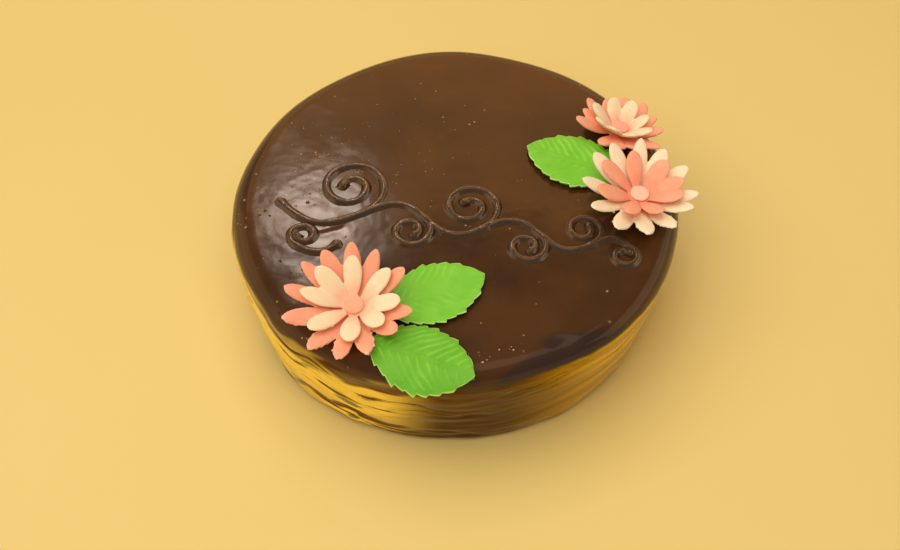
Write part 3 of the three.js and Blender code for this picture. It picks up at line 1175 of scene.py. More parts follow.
@dataclass
class PipedScroll:
    """A piped line: a waving stem with curling tendrils, rounded and melted a little into the glaze.

    The plan is in millimetres. The floor, the bead's half width and rise and its two end lengths are in
    metres, and the skirt and how far it is sunk are shares of the half width and the rise.
    """

    name: str
    finish: bpy.types.Material
    start: Plan
    azimuth: float
    waves: Sequence[Wave]
    floor: float = 0.0628
    half_width: float = 1.95 * MM
    rise: float = 1.9 * MM
    swell: float = 0.25
    curl_end: float = 2.6
    step: float = 0.5
    seed: float = 1.0
    skirt: float = 1.7
    sunk: float = 0.6
    cap_length: float = 2.6 * MM
    root_length: float = 5.0 * MM
    root_points: int = 11

    def section(self) -> np.ndarray:
        """The bead's section in shares of its half width and its rise: a round back on a thin melted skirt.

        Returns:
            A place aside and a height for each corner.
        """
        across = np.linspace(-self.skirt, self.skirt, 23)
        back = 1.12 * np.exp(-(np.abs(across) ** 3.2)) - 0.12
        left_foot = ((0.0, -self.sunk), (-self.skirt, -self.sunk))
        right_foot = ((self.skirt, -self.sunk), (0.0, -self.sunk))
        return np.concatenate([left_foot, np.column_stack([across, back]), right_foot])

    def place(self, points: np.ndarray) -> np.ndarray:
        """Sets points of the scroll's own plan on the cake's top, in metres.

        Args:
            points: Points in the scroll's own plan, in millimetres.

        Returns:
            The same points on the cake, in metres.
        """
        turn = math.radians(self.azimuth)
        turned = points @ np.array([[math.cos(turn), math.sin(turn)], [-math.sin(turn), math.cos(turn)]])
        return (turned + self.start) * MM

    def stem_part(self, wave: Wave, travelled: float) -> list[Plan]:
        """The points of the stem over one wave.

        Args:
            wave: The wave.
            travelled: Where along the stem it starts, in millimetres.

        Returns:
            Points in the scroll's own plan.
        """
        steps = round(wave.length / self.step)
        shares = [step / steps for step in range(1, steps + 1)]
        lift = wave.side * self.swell * wave.length
        return [(travelled + share * wave.length, lift * math.sin(math.pi * share)) for share in shares]

    def tendril(self, wave: Wave, travelled: float) -> list[Plan]:
        """The spiral that a wave sends off.

        Args:
            wave: The wave that the tendril leaves.
            travelled: How far along the stem it leaves, in millimetres.

        Returns:
            Points from the stem to the spiral's middle.
        """
        heading = -wave.side * math.atan(self.swell * math.pi)
        middle_x = travelled + wave.side * wave.curl * math.sin(heading)
        middle_y = -wave.side * wave.curl * math.cos(heading)
        arc = wave.turns * TAU
        count = round(arc * (wave.curl + self.curl_end) / 2 / self.step)
        points = []
        for step in range(1, count + 1):
            share = step / count
            radius = wave.curl + (self.curl_end - wave.curl) * share
            bearing = heading + wave.side * math.pi / 2 - wave.side * arc * share
            points.append((middle_x + radius * math.cos(bearing), middle_y + radius * math.sin(bearing)))
        return points

    def lines(self) -> list[np.ndarray]:
        """The plan lines: each tendril with the bit of stem it grows from, then the whole stem.

        Returns:
            Plan points of each line, in metres.
        """
        stem = [(0.0, 0.0)]
        found = []
        travelled = 0.0
        for number, wave in enumerate(self.waves):
            stem += self.stem_part(wave, travelled)
            travelled += wave.length
            curl = self.tendril(wave, travelled)
            if number < len(self.waves) - 1:
                found.append(self.place(np.array(stem[-self.root_points:] + curl)))
            else:
                stem += curl
        found.append(self.place(np.array(stem)))
        return found

    def bead(self, line: np.ndarray, number: int) -> bpy.types.Object:
        """Lays one bead of chocolate along a line.

        Args:
            line: Plan points in metres.
            number: Which bead this is, for its own unevenness.

        Returns:
            The closed bead.
        """
        whole = number == len(self.waves) - 1
        length = np.concatenate([[0], np.cumsum(np.linalg.norm(np.diff(line, axis=0), axis=1))])
        near_end = np.array([0.05, 0.18, 0.36]) * MM
        places = np.unique(np.concatenate([length, near_end, length[-1] - near_end]))
        line = np.column_stack([np.interp(places, length, line[:, axis]) for axis in (0, 1)])
        length = places
        heading = np.gradient(line, axis=0)
        heading /= np.linalg.norm(heading, axis=1)[:, None]
        aside = np.stack([-heading[:, 1], heading[:, 0]], 1)
        uneven = drift(np.stack([length, length * 0 + number, length * 0], 1), 95, self.seed, 2)
        from_end = length[-1] - length
        blob = 0.42 * np.exp(-((from_end - 2.2 * MM) / (2.0 * MM)) ** 2)
        if whole:
            blob += 0.28 * np.exp(-((length - 2.4 * MM) / (2.2 * MM)) ** 2)
            nearest = np.clip(np.minimum(length, from_end) / self.cap_length, 0, 1)
        else:
            at_tip = np.clip(from_end / self.cap_length, 0, 1)
            nearest = np.minimum(at_tip, np.clip(length / self.root_length, 0, 1))
        taper = np.sqrt(nearest * (2 - nearest))
        width = self.half_width * (1 + 0.24 * uneven + blob) * taper
        rise = self.rise * (1 + 0.2 * uneven + 0.6 * blob) * taper
        level = self.floor + glaze_swell(line[:, 0], line[:, 1])
        section = self.section()

        def shape(along: np.ndarray, across: np.ndarray) -> np.ndarray:
            """Places the bead's skin from shares along the line and round the section.

            Args:
                along: Shares of the way along the line.
                across: Shares of the way round the section.

            Returns:
                Positions in metres.
            """
            ring = np.rint(along * (len(line) - 1)).astype(int)
            side = np.rint(across * (len(section) - 1)).astype(int)
            out = (section[side, 0] * width[ring])[:, None]
            height = level[ring] + section[side, 1] * rise[ring]
            return np.column_stack([line[ring] + aside[ring] * out, height])

        piece = shaped_grid(f"{self.name}_bead", len(line) - 1, len(section) - 1, shape)
        tidy_mesh(piece)
        return piece

    def build(self) -> bpy.types.Object:
        """Lays all the beads and joins them.

        Returns:
            The whole piped line.
        """
        beads = [self.bead(line, number) for number, line in enumerate(self.lines())]
        piece = join(beads, f"{self.name}_line")
        smooth(piece)
        piece.data.materials.append(self.finish)
        return piece


# ---- leaves ---------------------------------------------------------------------------------------
@dataclass
class SugarLeaf:
    """A cut and pressed leaf: toothed edge, faint midrib, curved side veins. Sizes are in millimetres."""

    name: str
    finish: bpy.types.Material
    base: Plan
    azimuth: float
    tip_lift: float
    seed: float
    length: float = 51.5
    half_width: float = 16.0
    thickness: float = 2.2
    fullness: float = 0.85
    teeth: int = 9
    tooth_depth: float = 1.6
    cake_height: float = 62.8
    gap: float = 0.3
    drape_start: float = 98.0
    drape_radius: float = 30.0
    vein_pitch: float = 4.6
    edge_round: float = 0.45
    grid_along: int = 190
    grid_across: int = 44

    def blade_half_width(self, along: np.ndarray) -> np.ndarray:
        """Half the width of the plain blade at distances along the midrib."""
        half = self.length / 2
        return self.half_width * np.clip(1 - ((along - half) / half) ** 2, 0, 1) ** self.fullness

    def tooth(self, along: np.ndarray, side: np.ndarray) -> np.ndarray:
        """How far the teeth stand out: a long back and a short step, each tooth a little different.

        Args:
            along: Distances along the midrib.
            side: -1 or 1, the side of the leaf.

        Returns:
            Millimetres outwards for each place.
        """
        pitch = (self.length - 4) / self.teeth
        count = np.clip((along - 3 + 0.8 * side) / pitch, 0, self.teeth - 1e-6)
        phase = count % 1
        shape = np.where(phase < 0.84, (phase / 0.84) ** 0.8, (1 - phase) / 0.16)
        own = 0.8 + 0.35 * np.sin(np.floor(count) * 2.7 + side + self.seed * 1.7)
        fade = smoothstep(0, 4, along) * (1 - smoothstep(self.length - 5, self.length - 1, along) * 0.8)
        return self.tooth_depth * shape * own * fade

    def relief(
        self, along: np.ndarray, aside: np.ndarray, across: np.ndarray,
    ) -> tuple[np.ndarray, np.ndarray]:
        """The pressed veins.

        Args:
            along: Distances along the midrib, in millimetres.
            aside: Distances from the midrib, in millimetres.
            across: Shares of the half width, -1 to 1.

        Returns:
            Millimetres upwards and how much each place is a vein, 0 to 1.
        """
        out = np.abs(aside)
        plan = np.stack([along, aside, along * 0 + self.seed * 9], 1)
        wander = drift(plan, 0.09, self.seed, 2)
        phase = (along - out * 0.6 - 0.03 * out ** 2 + 1.5 * wander + np.sign(aside) * 0.8) / self.vein_pitch
        line = (0.5 + 0.5 * np.cos(TAU * phase)) ** 2
        reach = smoothstep(0.3, 2.5, out) * (1 - smoothstep(0.82, 0.97, np.abs(across)))
        strength = np.clip(0.65 + 0.9 * drift(plan, 0.07, self.seed + 5, 2), 0.15, 1.2)
        from_root = smoothstep(1, 8, along)
        rib = np.exp(-((aside / 0.6) ** 2)) * from_root
        rib = rib * (1 - smoothstep(self.length - 12, self.length - 3, along))
        beside = np.exp(-(((out - 1.3) / 0.7) ** 2)) * from_root
        beside = beside * (1 - smoothstep(self.length - 14, self.length - 4, along))
        pillow = 0.5 - 0.5 * np.cos(TAU * (phase - 0.28))
        fine = 0.5 + 0.5 * np.cos(TAU * (2 * phase + 0.6 * wander))
        height = (0.20 * line + 0.09 * pillow + 0.10 * fine) * strength * reach + 0.06 * rib - 0.16 * beside
        return height, np.clip((line * 0.6 + fine * 0.25) * reach * strength + rib * 0.3, 0, 1)

    def build(self) -> bpy.types.Object:
        """Shapes a flat grid into the leaf and gives it its thickness.

        Returns:
            The leaf.
        """
        marks: dict[str, np.ndarray] = {}

        def shape(share: np.ndarray, over: np.ndarray) -> np.ndarray:
            """Places the leaf's upper face from shares along and across it.

            Args:
                share: Shares of the way from base to tip.
                over: Shares of the way from edge to edge.

            Returns:
                Positions in metres.
            """
            across = np.sin((over * 2 - 1) * math.pi / 2)
            along = 0.2 + share * (self.length - 0.3)
            side = np.sign(across)
            width = np.maximum(self.blade_half_width(along), 0.25)
            width = width + self.tooth(along, side) * np.abs(across) ** 8
            aside = across * width
            height, vein = self.relief(along, aside, across)
            turn = math.radians(self.azimuth)
            x = self.base[0] + along * math.cos(turn) - aside * math.sin(turn)
            y = self.base[1] + along * math.sin(turn) + aside * math.cos(turn)
            past = np.maximum(0, np.hypot(x, y) - self.drape_start)
            waver = drift(np.stack([x, y, x * 0], 1) * MM, 40, self.seed, 2)
            z = self.cake_height + self.gap + self.thickness - past ** 2 / (2 * self.drape_radius)
            to_edge = np.minimum(width - np.abs(aside), np.minimum(along, self.length - along) * 0.6)
            bend = self.edge_round
            rounding = bend - np.sqrt(np.clip(bend ** 2 - np.clip(bend - to_edge, 0, bend) ** 2, 0, None))
            z = z + self.tip_lift * (along / self.length) ** 2 + height
            z = z + 0.5 * waver * np.abs(across) ** 2 - rounding
            marks["vein"] = vein
            # The rim mark makes the upper cut edge paler, partly a painted highlight; the lower side stays
            # green.
            marks["rim"] = 1 - smoothstep(0.1, 0.75, to_edge)
            return np.stack([x, y, z], 1) * MM

        piece = shaped_grid(self.name + "_leaf", self.grid_along, self.grid_across, shape)
        upper = len(marks["rim"])
        mark(piece, "vein", marks["vein"])
        wall = piece.modifiers.new("wall", "SOLIDIFY")
        wall.thickness = (self.thickness - 0.2) * MM
        wall.offset = -1
        finish_modifiers(piece)
        below = np.zeros(len(piece.data.vertices) - upper)
        mark(piece, "rim", np.concatenate([marks["rim"], below]))
        pick(piece)
        bpy.ops.object.mode_set(mode="EDIT")
        bpy.ops.mesh.select_all(action="SELECT")
        bpy.ops.mesh.normals_make_consistent(inside=False)
        bpy.ops.object.mode_set(mode="OBJECT")
        smooth(piece, 60)
        piece.data.materials.append(self.finish)
        return piece


# ---- flowers --------------------------------------------------------------------------------------
@dataclass(frozen=True)
class PetalRing:
    """One ring of petals: sizes in millimetres, turns in degrees."""

    turn: float
    level: float
    lift: float
    rise: float
    hub: float
    half_width: float
    sway: Sequence[float]
    reach: Sequence[float]
    ragged: Sequence[float] = ()
    perk: Sequence[float] = ()
    thickness: float = 2.4
    root: float = 3.4
    narrowing: float = 0.7
    stagger: float = 0.5

    def bearing(self, index: int) -> float:
        """The direction of a petal in the flower's own plan, in degrees."""
        return self.turn + 360 / len(self.reach) * index + self.sway[index]

    def outline(self, along: np.ndarray, own: float) -> np.ndarray:
        """The width of a petal against its widest.

        Args:
            along: Shares of the way from the root to the tip.
            own: A number of the petal's own, for its unevenness.

        Returns:
            A share of the half width for each place.
        """
        belly = 0.62 + 0.04 * math.sin(own * 3.1)
        swell = np.sin(np.clip(along / belly, 0, 1) * math.pi / 2) ** 1.15
        near_root = (1 - self.narrowing + self.narrowing * swell) * np.clip(along / 0.05, 0, 1) ** 0.5
        past = np.clip(along - belly, 0, 1) / (1 - belly)
        near_tip = np.clip(1 - past ** (2.3 + 0.35 * math.sin(own * 1.3)), 0, 1) ** 0.58
        return np.where(along < belly, near_root, near_tip)

    def height_at(self, index: int, distance: np.ndarray) -> np.ndarray:
        """How high the middle of a petal has risen at distances from the flower's axis."""
        share = np.clip((distance - self.hub) / (self.reach[index] - self.hub), 0, None)
        return self.level + self.lift * (self.perk[index] if self.perk else 1.0) * share ** self.rise


@dataclass
class SugarFlower:
    """A sugar-paste daisy: two rings of moulded petals and a button."""

    name: str
    at: tuple[float, float, float]
    lean: Plan
    outer: PetalRing
    inner: PetalRing
    finishes: tuple[bpy.types.Material, bpy.types.Material, bpy.types.Material]
    seed: float
    button_radius: float = 4.6
    button_height: float = 1.8
    hub_thickness: float = 1.6
    gap: float = 0.3
    grain: float = 0.42

    def frame_of(self) -> Matrix:
        """The turn and place of the flower: its face looks along its leaning direction.

        Returns:
            The matrix from the flower's own frame to the cake's, in metres.
        """
        facing = Vector((self.lean[0], self.lean[1], 1)).normalized()
        sideways = (Vector((1, 0, 0)) - facing * facing.x).normalized()
        forwards = facing.cross(sideways)
        turned = Matrix((sideways, forwards, facing)).transposed().to_4x4()
        return Matrix.Translation(Vector(self.at) * MM) @ turned

    def own_number(self, ring: PetalRing, index: int) -> float:
        """A number of a petal's own, which sets how it differs from the others."""
        return self.seed * 3.7 + index * 1.93 + ring.level

    def petal_pattern(self) -> bpy.types.Object:
        """A round blank with poles at a petal's root and tip.

        Returns:
            The blank.
        """
        deselect()
        bpy.ops.mesh.primitive_uv_sphere_add(segments=28, ring_count=30, radius=1)
        return named("petal_blank")

    def petal(self, blank: bpy.types.Object, ring: PetalRing, index: int) -> bpy.types.Object:
        """Shapes a copy of the blank into one petal.

        Args:
            blank: The round blank.
            ring: The ring that the petal belongs to.
            index: Which petal it is.

        Returns:
            The petal, in the flower's own frame, in metres.
        """
        piece = copy_of(blank)
        ball = positions(piece)
        along = (1 - ball[:, 2]) / 2
        bearing = np.arctan2(ball[:, 1], ball[:, 0])
        side, over = np.cos(bearing), np.sin(bearing)
        own = self.own_number(ring, index)
        outline = ring.outline(along, own)
        aside = side * outline * ring.half_width * (1.03 + 0.06 * math.sin(own * 2.3))
        plump = ring.thickness / 2 * outline ** 0.9
        height = np.where(over >= 0, plump * 1.3 * np.abs(over) ** 0.85, -plump * 0.8 * np.abs(over) ** 0.5)
        distance = ring.root + (ring.reach[index] - ring.root) * along
        bow = 0.5 * math.sin(own * 5.1) * along ** 2
        roll = 0.10 * math.sin(own * 4.3) * aside
        cup = 0.22 * (aside / ring.half_width) ** 2 * along
        local_z = ring.height_at(index, distance) + height + roll + cup + ring.stagger * (index % 2 - 0.5)
        aside = aside + bow
        azimuth = math.radians(ring.bearing(index))
        x = distance * math.cos(azimuth) - aside * math.sin(azimuth)
        y = distance * math.sin(azimuth) + aside * math.cos(azimuth)
        move_to(piece, np.stack([x, y, local_z], 1) * MM)
        return piece

    def hub(self, ring: PetalRing) -> bpy.types.Object:
        """The low round middle that joins a ring's petals.

        Args:
            ring: The ring's sizes.

        Returns:
            The middle, in the flower's own frame.
        """
        deselect()
        bpy.ops.mesh.primitive_uv_sphere_add(segments=40, ring_count=16, radius=1)
        piece = named("hub")
        size = np.array((ring.hub + 0.4, ring.hub + 0.4, self.hub_thickness * 0.55))
        move_to(piece, (positions(piece) * size + (0, 0, ring.level)) * MM)
        return piece

    def crumbs(self, ring: PetalRing) -> list[bpy.types.Object]:
        """Little crumbs left on the edges of the ragged petals.

        Args:
            ring: The ring's sizes.

        Returns:
            The crumbs, in the flower's own frame.
        """
        draw = np.random.default_rng(int(self.seed * 10 + ring.level))
        found = []
        for index, ragged in enumerate(ring.ragged):
            own = self.own_number(ring, index)
            for _ in range(round(ragged * 5)):
                deselect()
                bpy.ops.mesh.primitive_ico_sphere_add(subdivisions=2, radius=1)
                piece = named("crumb")
                share = draw.uniform(0.4, 0.93)
                distance = ring.root + (ring.reach[index] - ring.root) * share
                wide = float(ring.outline(np.array(share), own)) * ring.half_width
                side = draw.choice((-1, 1)) * (wide - 0.1)
                azimuth = math.radians(ring.bearing(index))
                x = distance * math.cos(azimuth) - side * math.sin(azimuth)
                y = distance * math.sin(azimuth) + side * math.cos(azimuth)
                height = float(ring.height_at(index, np.array(distance))) - 0.1
                size = draw.uniform(0.45, 0.8, 3)
                move_to(piece, (positions(piece) * size + (x, y, height)) * MM)
                found.append(piece)
        return found

    def petal_ring(self, ring: PetalRing, name: str, finish: bpy.types.Material) -> bpy.types.Object:
        """Builds one ring of petals in its place, pressed into one piece.

        Args:
            ring: The ring's sizes.
            name: The piece's name.
            finish: The ring's material.

        Returns:
            The finished ring.
        """
        blank = self.petal_pattern()
        parts = [self.petal(blank, ring, index) for index in range(len(ring.reach))]
        bin_piece(blank)
        piece = join([*parts, self.hub(ring), *self.crumbs(ring)], name)
        press = piece.modifiers.new("press", "REMESH")
        press.mode = "VOXEL"
        press.voxel_size = self.grain * MM
        ease = piece.modifiers.new("ease", "SMOOTH")
        ease.factor = 0.5
        ease.iterations = 2
        finish_modifiers(piece)
        self.roughen(piece, ring)
        return self.settle(piece, finish)

    def roughen(self, piece: bpy.types.Object, ring: PetalRing) -> None:
        """Tears the edges of the ragged petals and marks the way from hub to tip.

        Args:
            piece: The ring of petals, in the flower's own frame.
            ring: The ring's sizes.
        """
        points = positions(piece) / MM
        out = np.hypot(points[:, 0], points[:, 1])
        azimuth = np.degrees(np.arctan2(points[:, 1], points[:, 0]))
        bearings = np.array([ring.bearing(index) for index in range(len(ring.reach))])
        away = (azimuth[:, None] - bearings[None, :] + 180) % 360 - 180
        nearest = np.abs(away).argmin(1)
        reach = np.array(ring.reach)[nearest]
        along = np.clip((out - ring.hub) / (reach - ring.hub), 0, 1)
        aside = np.abs(out * np.sin(np.radians(away[np.arange(len(out)), nearest])))
        edge = np.maximum(smoothstep(0.55, 0.95, aside / ring.half_width), smoothstep(0.86, 1.0, along))
        ragged = np.array(ring.ragged or [0.12] * len(ring.reach))[nearest]
        amount = ragged * edge * smoothstep(0.25, 0.6, along)
        bite = drift(points, 0.55, self.seed * 7, 3) - 0.1
        crumble = drift(points, 1.3, self.seed * 3 + 20, 2)
        inwards = np.stack([-points[:, 0], -points[:, 1], out * 0], 1) / np.maximum(out, 0.01)[:, None]
        points = points + inwards * (amount * (bite * 1.2 + crumble * 0.4))[:, None]
        points[:, 2] += amount * crumble * 0.7 + 0.05 * drift(points, 0.35, self.seed, 2)
        move_to(piece, points * MM)
        mark(piece, "along", along)
        # The rim mark makes petal edges paler: partly the torn paste, partly a painted highlight.
        mark(piece, "rim", np.clip(edge * (0.35 + ragged), 0, 1))

    def settle(self, piece: bpy.types.Object, finish: bpy.types.Material) -> bpy.types.Object:
        """Sets a part of the flower on its place and dresses it.

        Args:
            piece: The part, in the flower's own frame.
            finish: Its material.

        Returns:
            The same part.
        """
        piece.data.transform(self.frame_of())
        piece.data.update()
        smooth(piece)
        piece.data.materials.clear()
        piece.data.materials.append(finish)
        return piece

    def button(self) -> bpy.types.Object:
        """The low domed button, a little dented in its middle.

        Returns:
            The button.
        """
        deselect()
        bpy.ops.mesh.primitive_uv_sphere_add(segments=40, ring_count=24, radius=1)
        piece = named(f"{self.name}_middle")
        ball = positions(piece)
        out = np.hypot(ball[:, 0], ball[:, 1])
        spread_out = out ** 0.75
        scale = np.where(out > 1e-6, spread_out / np.maximum(out, 1e-6), 1) * self.button_radius
        dome = np.sign(ball[:, 2]) * np.abs(ball[:, 2]) ** 0.75
        start = self.inner.level + self.hub_thickness / 2 + self.gap - 0.45
        z = start + self.button_height / 2 * (1 + dome) - 0.15 * np.exp(-((out / 0.45) ** 2)) * (dome > 0)
        points = np.stack([ball[:, 0] * scale, ball[:, 1] * scale, z], 1)
        points += (drift(points, 0.5, self.seed, 2) * 0.15)[:, None]
        move_to(piece, points * MM)
        mark(piece, "along", np.full(len(points), 1.0))
        # A paler ring at the button's edge: partly a painted highlight.
        mark(piece, "rim", smoothstep(0.86, 1.0, spread_out) * 0.6)
        return self.settle(piece, self.finishes[2])

    def build(self) -> list[tuple[bpy.types.Object, str]]:
        """Builds the flower's three pieces, each with the end of its node's name.

        Returns:
            The outer ring, the inner ring and the button.
        """
        return [
            (self.petal_ring(self.outer, f"{self.name}_outer_petals", self.finishes[0]), "outer"),
            (self.petal_ring(self.inner, f"{self.name}_inner_petals", self.finishes[1]), "inner"),
            (self.button(), "button"),
        ]


# ---- studio ---------------------------------------------------------------------------------------
@dataclass(frozen=True)
class SoftLight:
    """A soft light: its place, its aim, its sides in metres, its power, its colour and what it serves."""

    name: str
    stands: tuple[float, float, float]
    looks_at: tuple[float, float, float]
    sides: tuple[float, float]
    power: float
    colour: Colour
    lights_up: bool = True
    glints: bool = True

    def build(self) -> None:
        """Puts the light in the scene."""
        data = bpy.data.lights.new(self.name, "AREA")
        data.shape = "RECTANGLE"
        data.size, data.size_y = self.sides
        data.energy = self.power
        data.color = self.colour
        lamp = bpy.data.objects.new(self.name, data)
        lamp.location = self.stands
        aim = Vector(self.looks_at) - Vector(self.stands)
        lamp.rotation_euler = aim.to_track_quat("-Z", "Y").to_euler()
        lamp.visible_diffuse = self.lights_up
        lamp.visible_glossy = self.glints
        lamp.visible_camera = False
        bpy.context.scene.collection.objects.link(lamp)


@dataclass
class Studio:
    """The floor, the lights, the surroundings and the camera."""

    elevation: float = 52.09
    distance: float = 0.6465
    target: tuple[float, float, float] = (-0.00117, -0.00072, 0.0)
    roll: float = -0.145
    lens: float = 48.57
    above: Colour = (0.18, 0.15, 0.11)
    around: Colour = (0.66, 0.49, 0.28)
    lights: Sequence[SoftLight] = field(default_factory=tuple)

    def build(self) -> None:
        """Sets up the whole studio."""
        self.floor()
        for light in self.lights:
            light.build()
        self.room()
        bpy.context.scene.view_settings.view_transform = "Standard"
        self.camera()

    def room(self) -> None:
        """Makes the surroundings: paler round the horizon, darker above."""
        world = bpy.data.worlds.new("soft_room")
        world.use_nodes = True
        graph = Graph(world.node_tree)
        sky = graph.add("ShaderNodeTexCoord")
        axes = graph.add("ShaderNodeSeparateXYZ")
        graph.feed(axes.inputs[0], sky.outputs["Generated"])
        tone = graph.mix(graph.spread(axes.outputs[2], 0.02, 0.42), self.around, self.above)
        graph.feed(world.node_tree.nodes["Background"].inputs[0], tone)
        bpy.context.scene.world = world

    def floor(self) -> None:
        """Lays the plain floor."""
        deselect()
        bpy.ops.mesh.primitive_plane_add(size=24)
        floor = named("floor")
        floor.data.materials.append(TableTop().make())

    def camera(self) -> None:
        """Stands the camera in front, looking down at the cake."""
        data = bpy.data.cameras.new("camera")
        data.lens = self.lens
        data.sensor_width = 36
        data.clip_start = 0.01
        camera = bpy.data.objects.new("camera", data)
        angle = math.radians(self.elevation)
        back = Vector((0, -math.cos(angle), math.sin(angle)))
        right = Vector((1, 0, 0))
        up = back.cross(right)
        tilt = math.radians(self.roll)
        across = math.cos(tilt) * right + math.sin(tilt) * up
        upward = -math.sin(tilt) * right + math.cos(tilt) * up
        turned = Matrix((across, upward, back)).transposed().to_4x4()
        camera.matrix_world = Matrix.Translation(Vector(self.target) + back * self.distance) @ turned
        bpy.context.scene.collection.objects.link(camera)
        bpy.context.scene.camera = camera


# ---- assembly -------------------------------------------------------------------------------------
def seat(piece: bpy.types.Object, slot: str, *nodes: str) -> None:
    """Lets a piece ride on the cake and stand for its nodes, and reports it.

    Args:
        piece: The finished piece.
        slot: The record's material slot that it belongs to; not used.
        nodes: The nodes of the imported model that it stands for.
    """
    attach(piece, BODY)
    if nodes:
        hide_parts(*nodes)
    stands_for = ", ".join(nodes) or "no node"
    LOG.info("%s stands for %s: %d faces", piece.name, stands_for, len(piece.data.polygons))


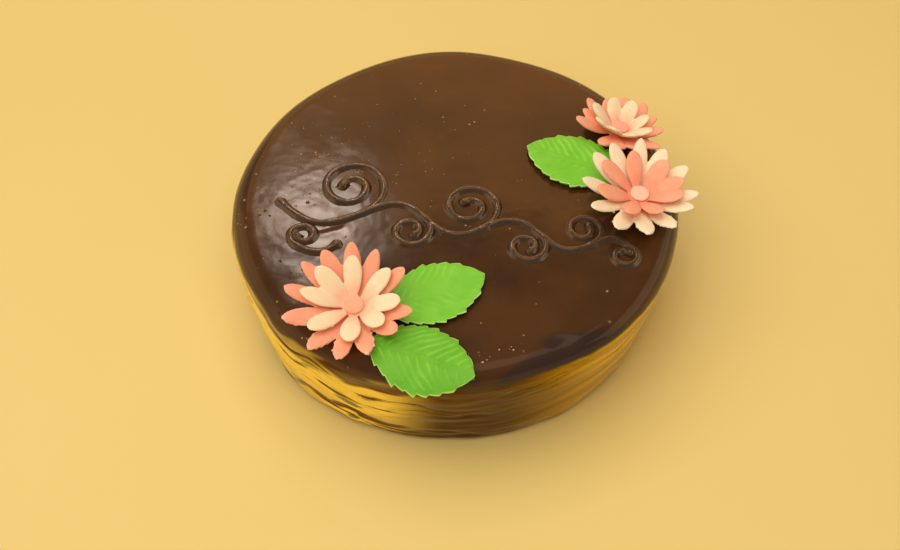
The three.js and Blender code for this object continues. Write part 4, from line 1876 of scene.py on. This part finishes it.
def main() -> None:
    """Builds the cake, its toppings and the studio."""
    logging.basicConfig(level=logging.INFO, format="%(message)s")
    groups = SharedGroups(speck_group(), grain_group())
    glaze = PouredGlaze(groups).make()
    piping = PipedChocolate(groups).make()
    bubble_sugar = BubbleSkin(groups).make()
    leaf_paste = LeafPaste(groups).make()
    # The lower leaf gets a darker copy of the leaf paste: painted shade, as it lies in less light.
    shaded_lower_leaf_paste = LeafPaste(
        groups, "shaded_green_sugar_paste", srgb(122, 196, 44), srgb(98, 174, 26), srgb(190, 232, 116),
    ).make()
    pastes = {paste: PetalPaste(groups, paste).make() for paste in Paste}

    seat(GlazedCake(glaze).build(), "chocolate_glaze", "cake")
    seat(GlazeBubbles(bubble_sugar).build(), "chocolate_glaze")

    scroll = PipedScroll(
        "scroll", piping, (-86, -2), -10.7,
        (
            Wave(45, -1, 18, 1.75), Wave(30, 1, 10.5, 1.4), Wave(28, -1, 15, 1.65),
            Wave(28, 1, 10, 1.4), Wave(25, -1, 9.5, 1.4), Wave(19, 1, 6.5, 1.15),
        ),
    )
    seat(scroll.build(), "piped_chocolate", "piped_scroll")
    curl = PipedScroll("curl", piping, (-53, -29), 186, (Wave(22, 1, 7, 1.25),), seed=4.0)
    seat(curl.build(), "piped_chocolate", "piped_curl")

    for leaf in (
        SugarLeaf("upper", leaf_paste, (-31.9, -72.4), 24.3, 0.8, 1.0),
        SugarLeaf("lower", shaded_lower_leaf_paste, (-38.3, -87.9), -21.4, 0.0, 2.0),
        SugarLeaf("back", leaf_paste, (85.3, 10.6), 156.8, 0.8, 3.0),
    ):
        seat(leaf.build(), "green_sugar_paste", f"leaf_{leaf.name}")

    coral, cream = pastes[Paste.CORAL], pastes[Paste.CREAM]
    flowers = (
        SugarFlower(
            "front", (-44.6, -70.4, 65.5), (-0.026, -0.231),
            PetalRing(
                -6.4, 0, 12.6, 1.35, 5.5, 4.1,
                (-9.1, 6.8, 11.0, 9.7, 6.3, 0.6, -3.7, -4.9, -0.7, -4.0, -6.7, -5.3),
                (28.1, 27.2, 25.9, 27.4, 27.4, 29.3, 31.5, 32.6, 30.6, 30.5, 28.3, 26.8),
                (0.1, 0.1, 0.1, 0.1, 0.1, 0.15, 0.25, 0.6, 0.9, 0.5, 1.0, 0.3),
            ),
            PetalRing(
                -2.7, 2.0, 10.6, 0.95, 5.0, 4.3,
                (-1.6, -5.4, 5.8, 5.7, -4.9, -4.1, 0.1, 4.4),
                (21.9, 21.6, 20.9, 22.2, 23.9, 24.2, 21.6, 19.8),
                (0.1, 0.1, 0.1, 0.1, 0.1, 0.35, 0.15, 0.15),
            ),
            (coral, cream, coral), 1.0,
        ),
        SugarFlower(
            "right", (90.8, -4.2, 65.5), (0.103, -0.065),
            PetalRing(
                -1.4, 0, 9.9, 1.35, 5.5, 4.2,
                (-4.6, 0.7, 1.4, -1.3, -2.5, -6.0, -2.4, 2.3, 2.9, 0.7, 1.6, 3.5),
                (27.6, 27.2, 27.7, 29.8, 29.0, 29.4, 29.6, 30.4, 30.8, 29.4, 27.6, 26.6),
                (0.2, 0.15, 0.15, 0.1, 0.1, 0.1, 0.15, 0.4, 0.6, 0.7, 0.5, 0.3),
            ),
            PetalRing(
                14.2, 2.0, 10.2, 0.95, 5.0, 4.5,
                (-5.2, -12.2, -2.7, -0.8, 1.7, 5.5, 5.3, 13.0),
                (20.6, 19.0, 20.2, 22.6, 23.9, 21.8, 19.1, 20.2),
            ),
            (pastes[Paste.PALE], coral, pastes[Paste.PEACH]), 2.0,
        ),
        SugarFlower(
            "back", (85.0, 40.6, 65.5), (0.19, 0.12),
            PetalRing(
                -8, 0, 7.5, 1.35, 5.5, 3.8,
                (1.4, -2, -3.3, -2, -1.4, 0.3, -6, -12, 2.8, 0, 1, -8),
                (21.7, 20, 22.7, 20, 18.3, 22.3, 21, 25.1, 20.5, 20, 20, 24.7),
                perk=(1, 1, 1, 1, 1, 1, 1, 1, 0.45, 0.6, 0.7, 0.9), thickness=2.7,
            ),
            PetalRing(
                15, 2.0, 9.0, 0.95, 5.0, 3.9,
                (-5, 0, 5, 12, 10, 3, -2, -8), (13.5, 13.8, 14.5, 17, 16.5, 15.5, 16.5, 17), thickness=3.1,
            ),
            (coral, cream, coral), 3.0,
        ),
    )
    tones = {"front": ("coral", "cream"), "right": ("cream", "coral"), "back": ("coral", "cream")}
    for flower in flowers:
        outer_tone, inner_tone = tones[flower.name]
        for piece, end in flower.build():
            tone = inner_tone if end == "inner" else outer_tone
            seat(piece, f"{tone}_sugar_paste", f"flower_{flower.name}_{end}")

    cake_middle = (0, 0, 0.05)
    studio = Studio(
        lights=(
            SoftLight(
                "overhead", (-0.38, -0.2, 1.6), cake_middle, (2.4, 2.4), 40.5, (1.0, 0.96, 0.91),
                glints=False,
            ),
            SoftLight(
                "warm_wall", (0.1, 1.6, 1.06), cake_middle, (2.4, 1.22), 10, (1.0, 0.45, 0.13),
                lights_up=False,
            ),
            SoftLight(
                "lamp", (-0.244, 1.0, 1.27), (-0.072, -0.02, 0.063), (0.125, 0.12), 0.7, (1.0, 0.84, 0.71),
                lights_up=False,
            ),
            SoftLight(
                "ceiling", (0.05, 0.1, 1.6), cake_middle, (1.1, 1.1), 2.3, (1.0, 0.76, 0.52),
                lights_up=False,
            ),
            SoftLight(
                "left_window", (-1.5, 0.1, 0.75), cake_middle, (2.0, 0.9), 2.6, (1.0, 0.68, 0.34),
                lights_up=False,
            ),
            SoftLight(
                "right_window", (1.5, 0.2, 0.75), cake_middle, (2.0, 0.9), 3.6, (1.0, 0.74, 0.46),
                lights_up=False,
            ),
        ),
    )
    studio.build()


if __name__ == "__main__":
    main()
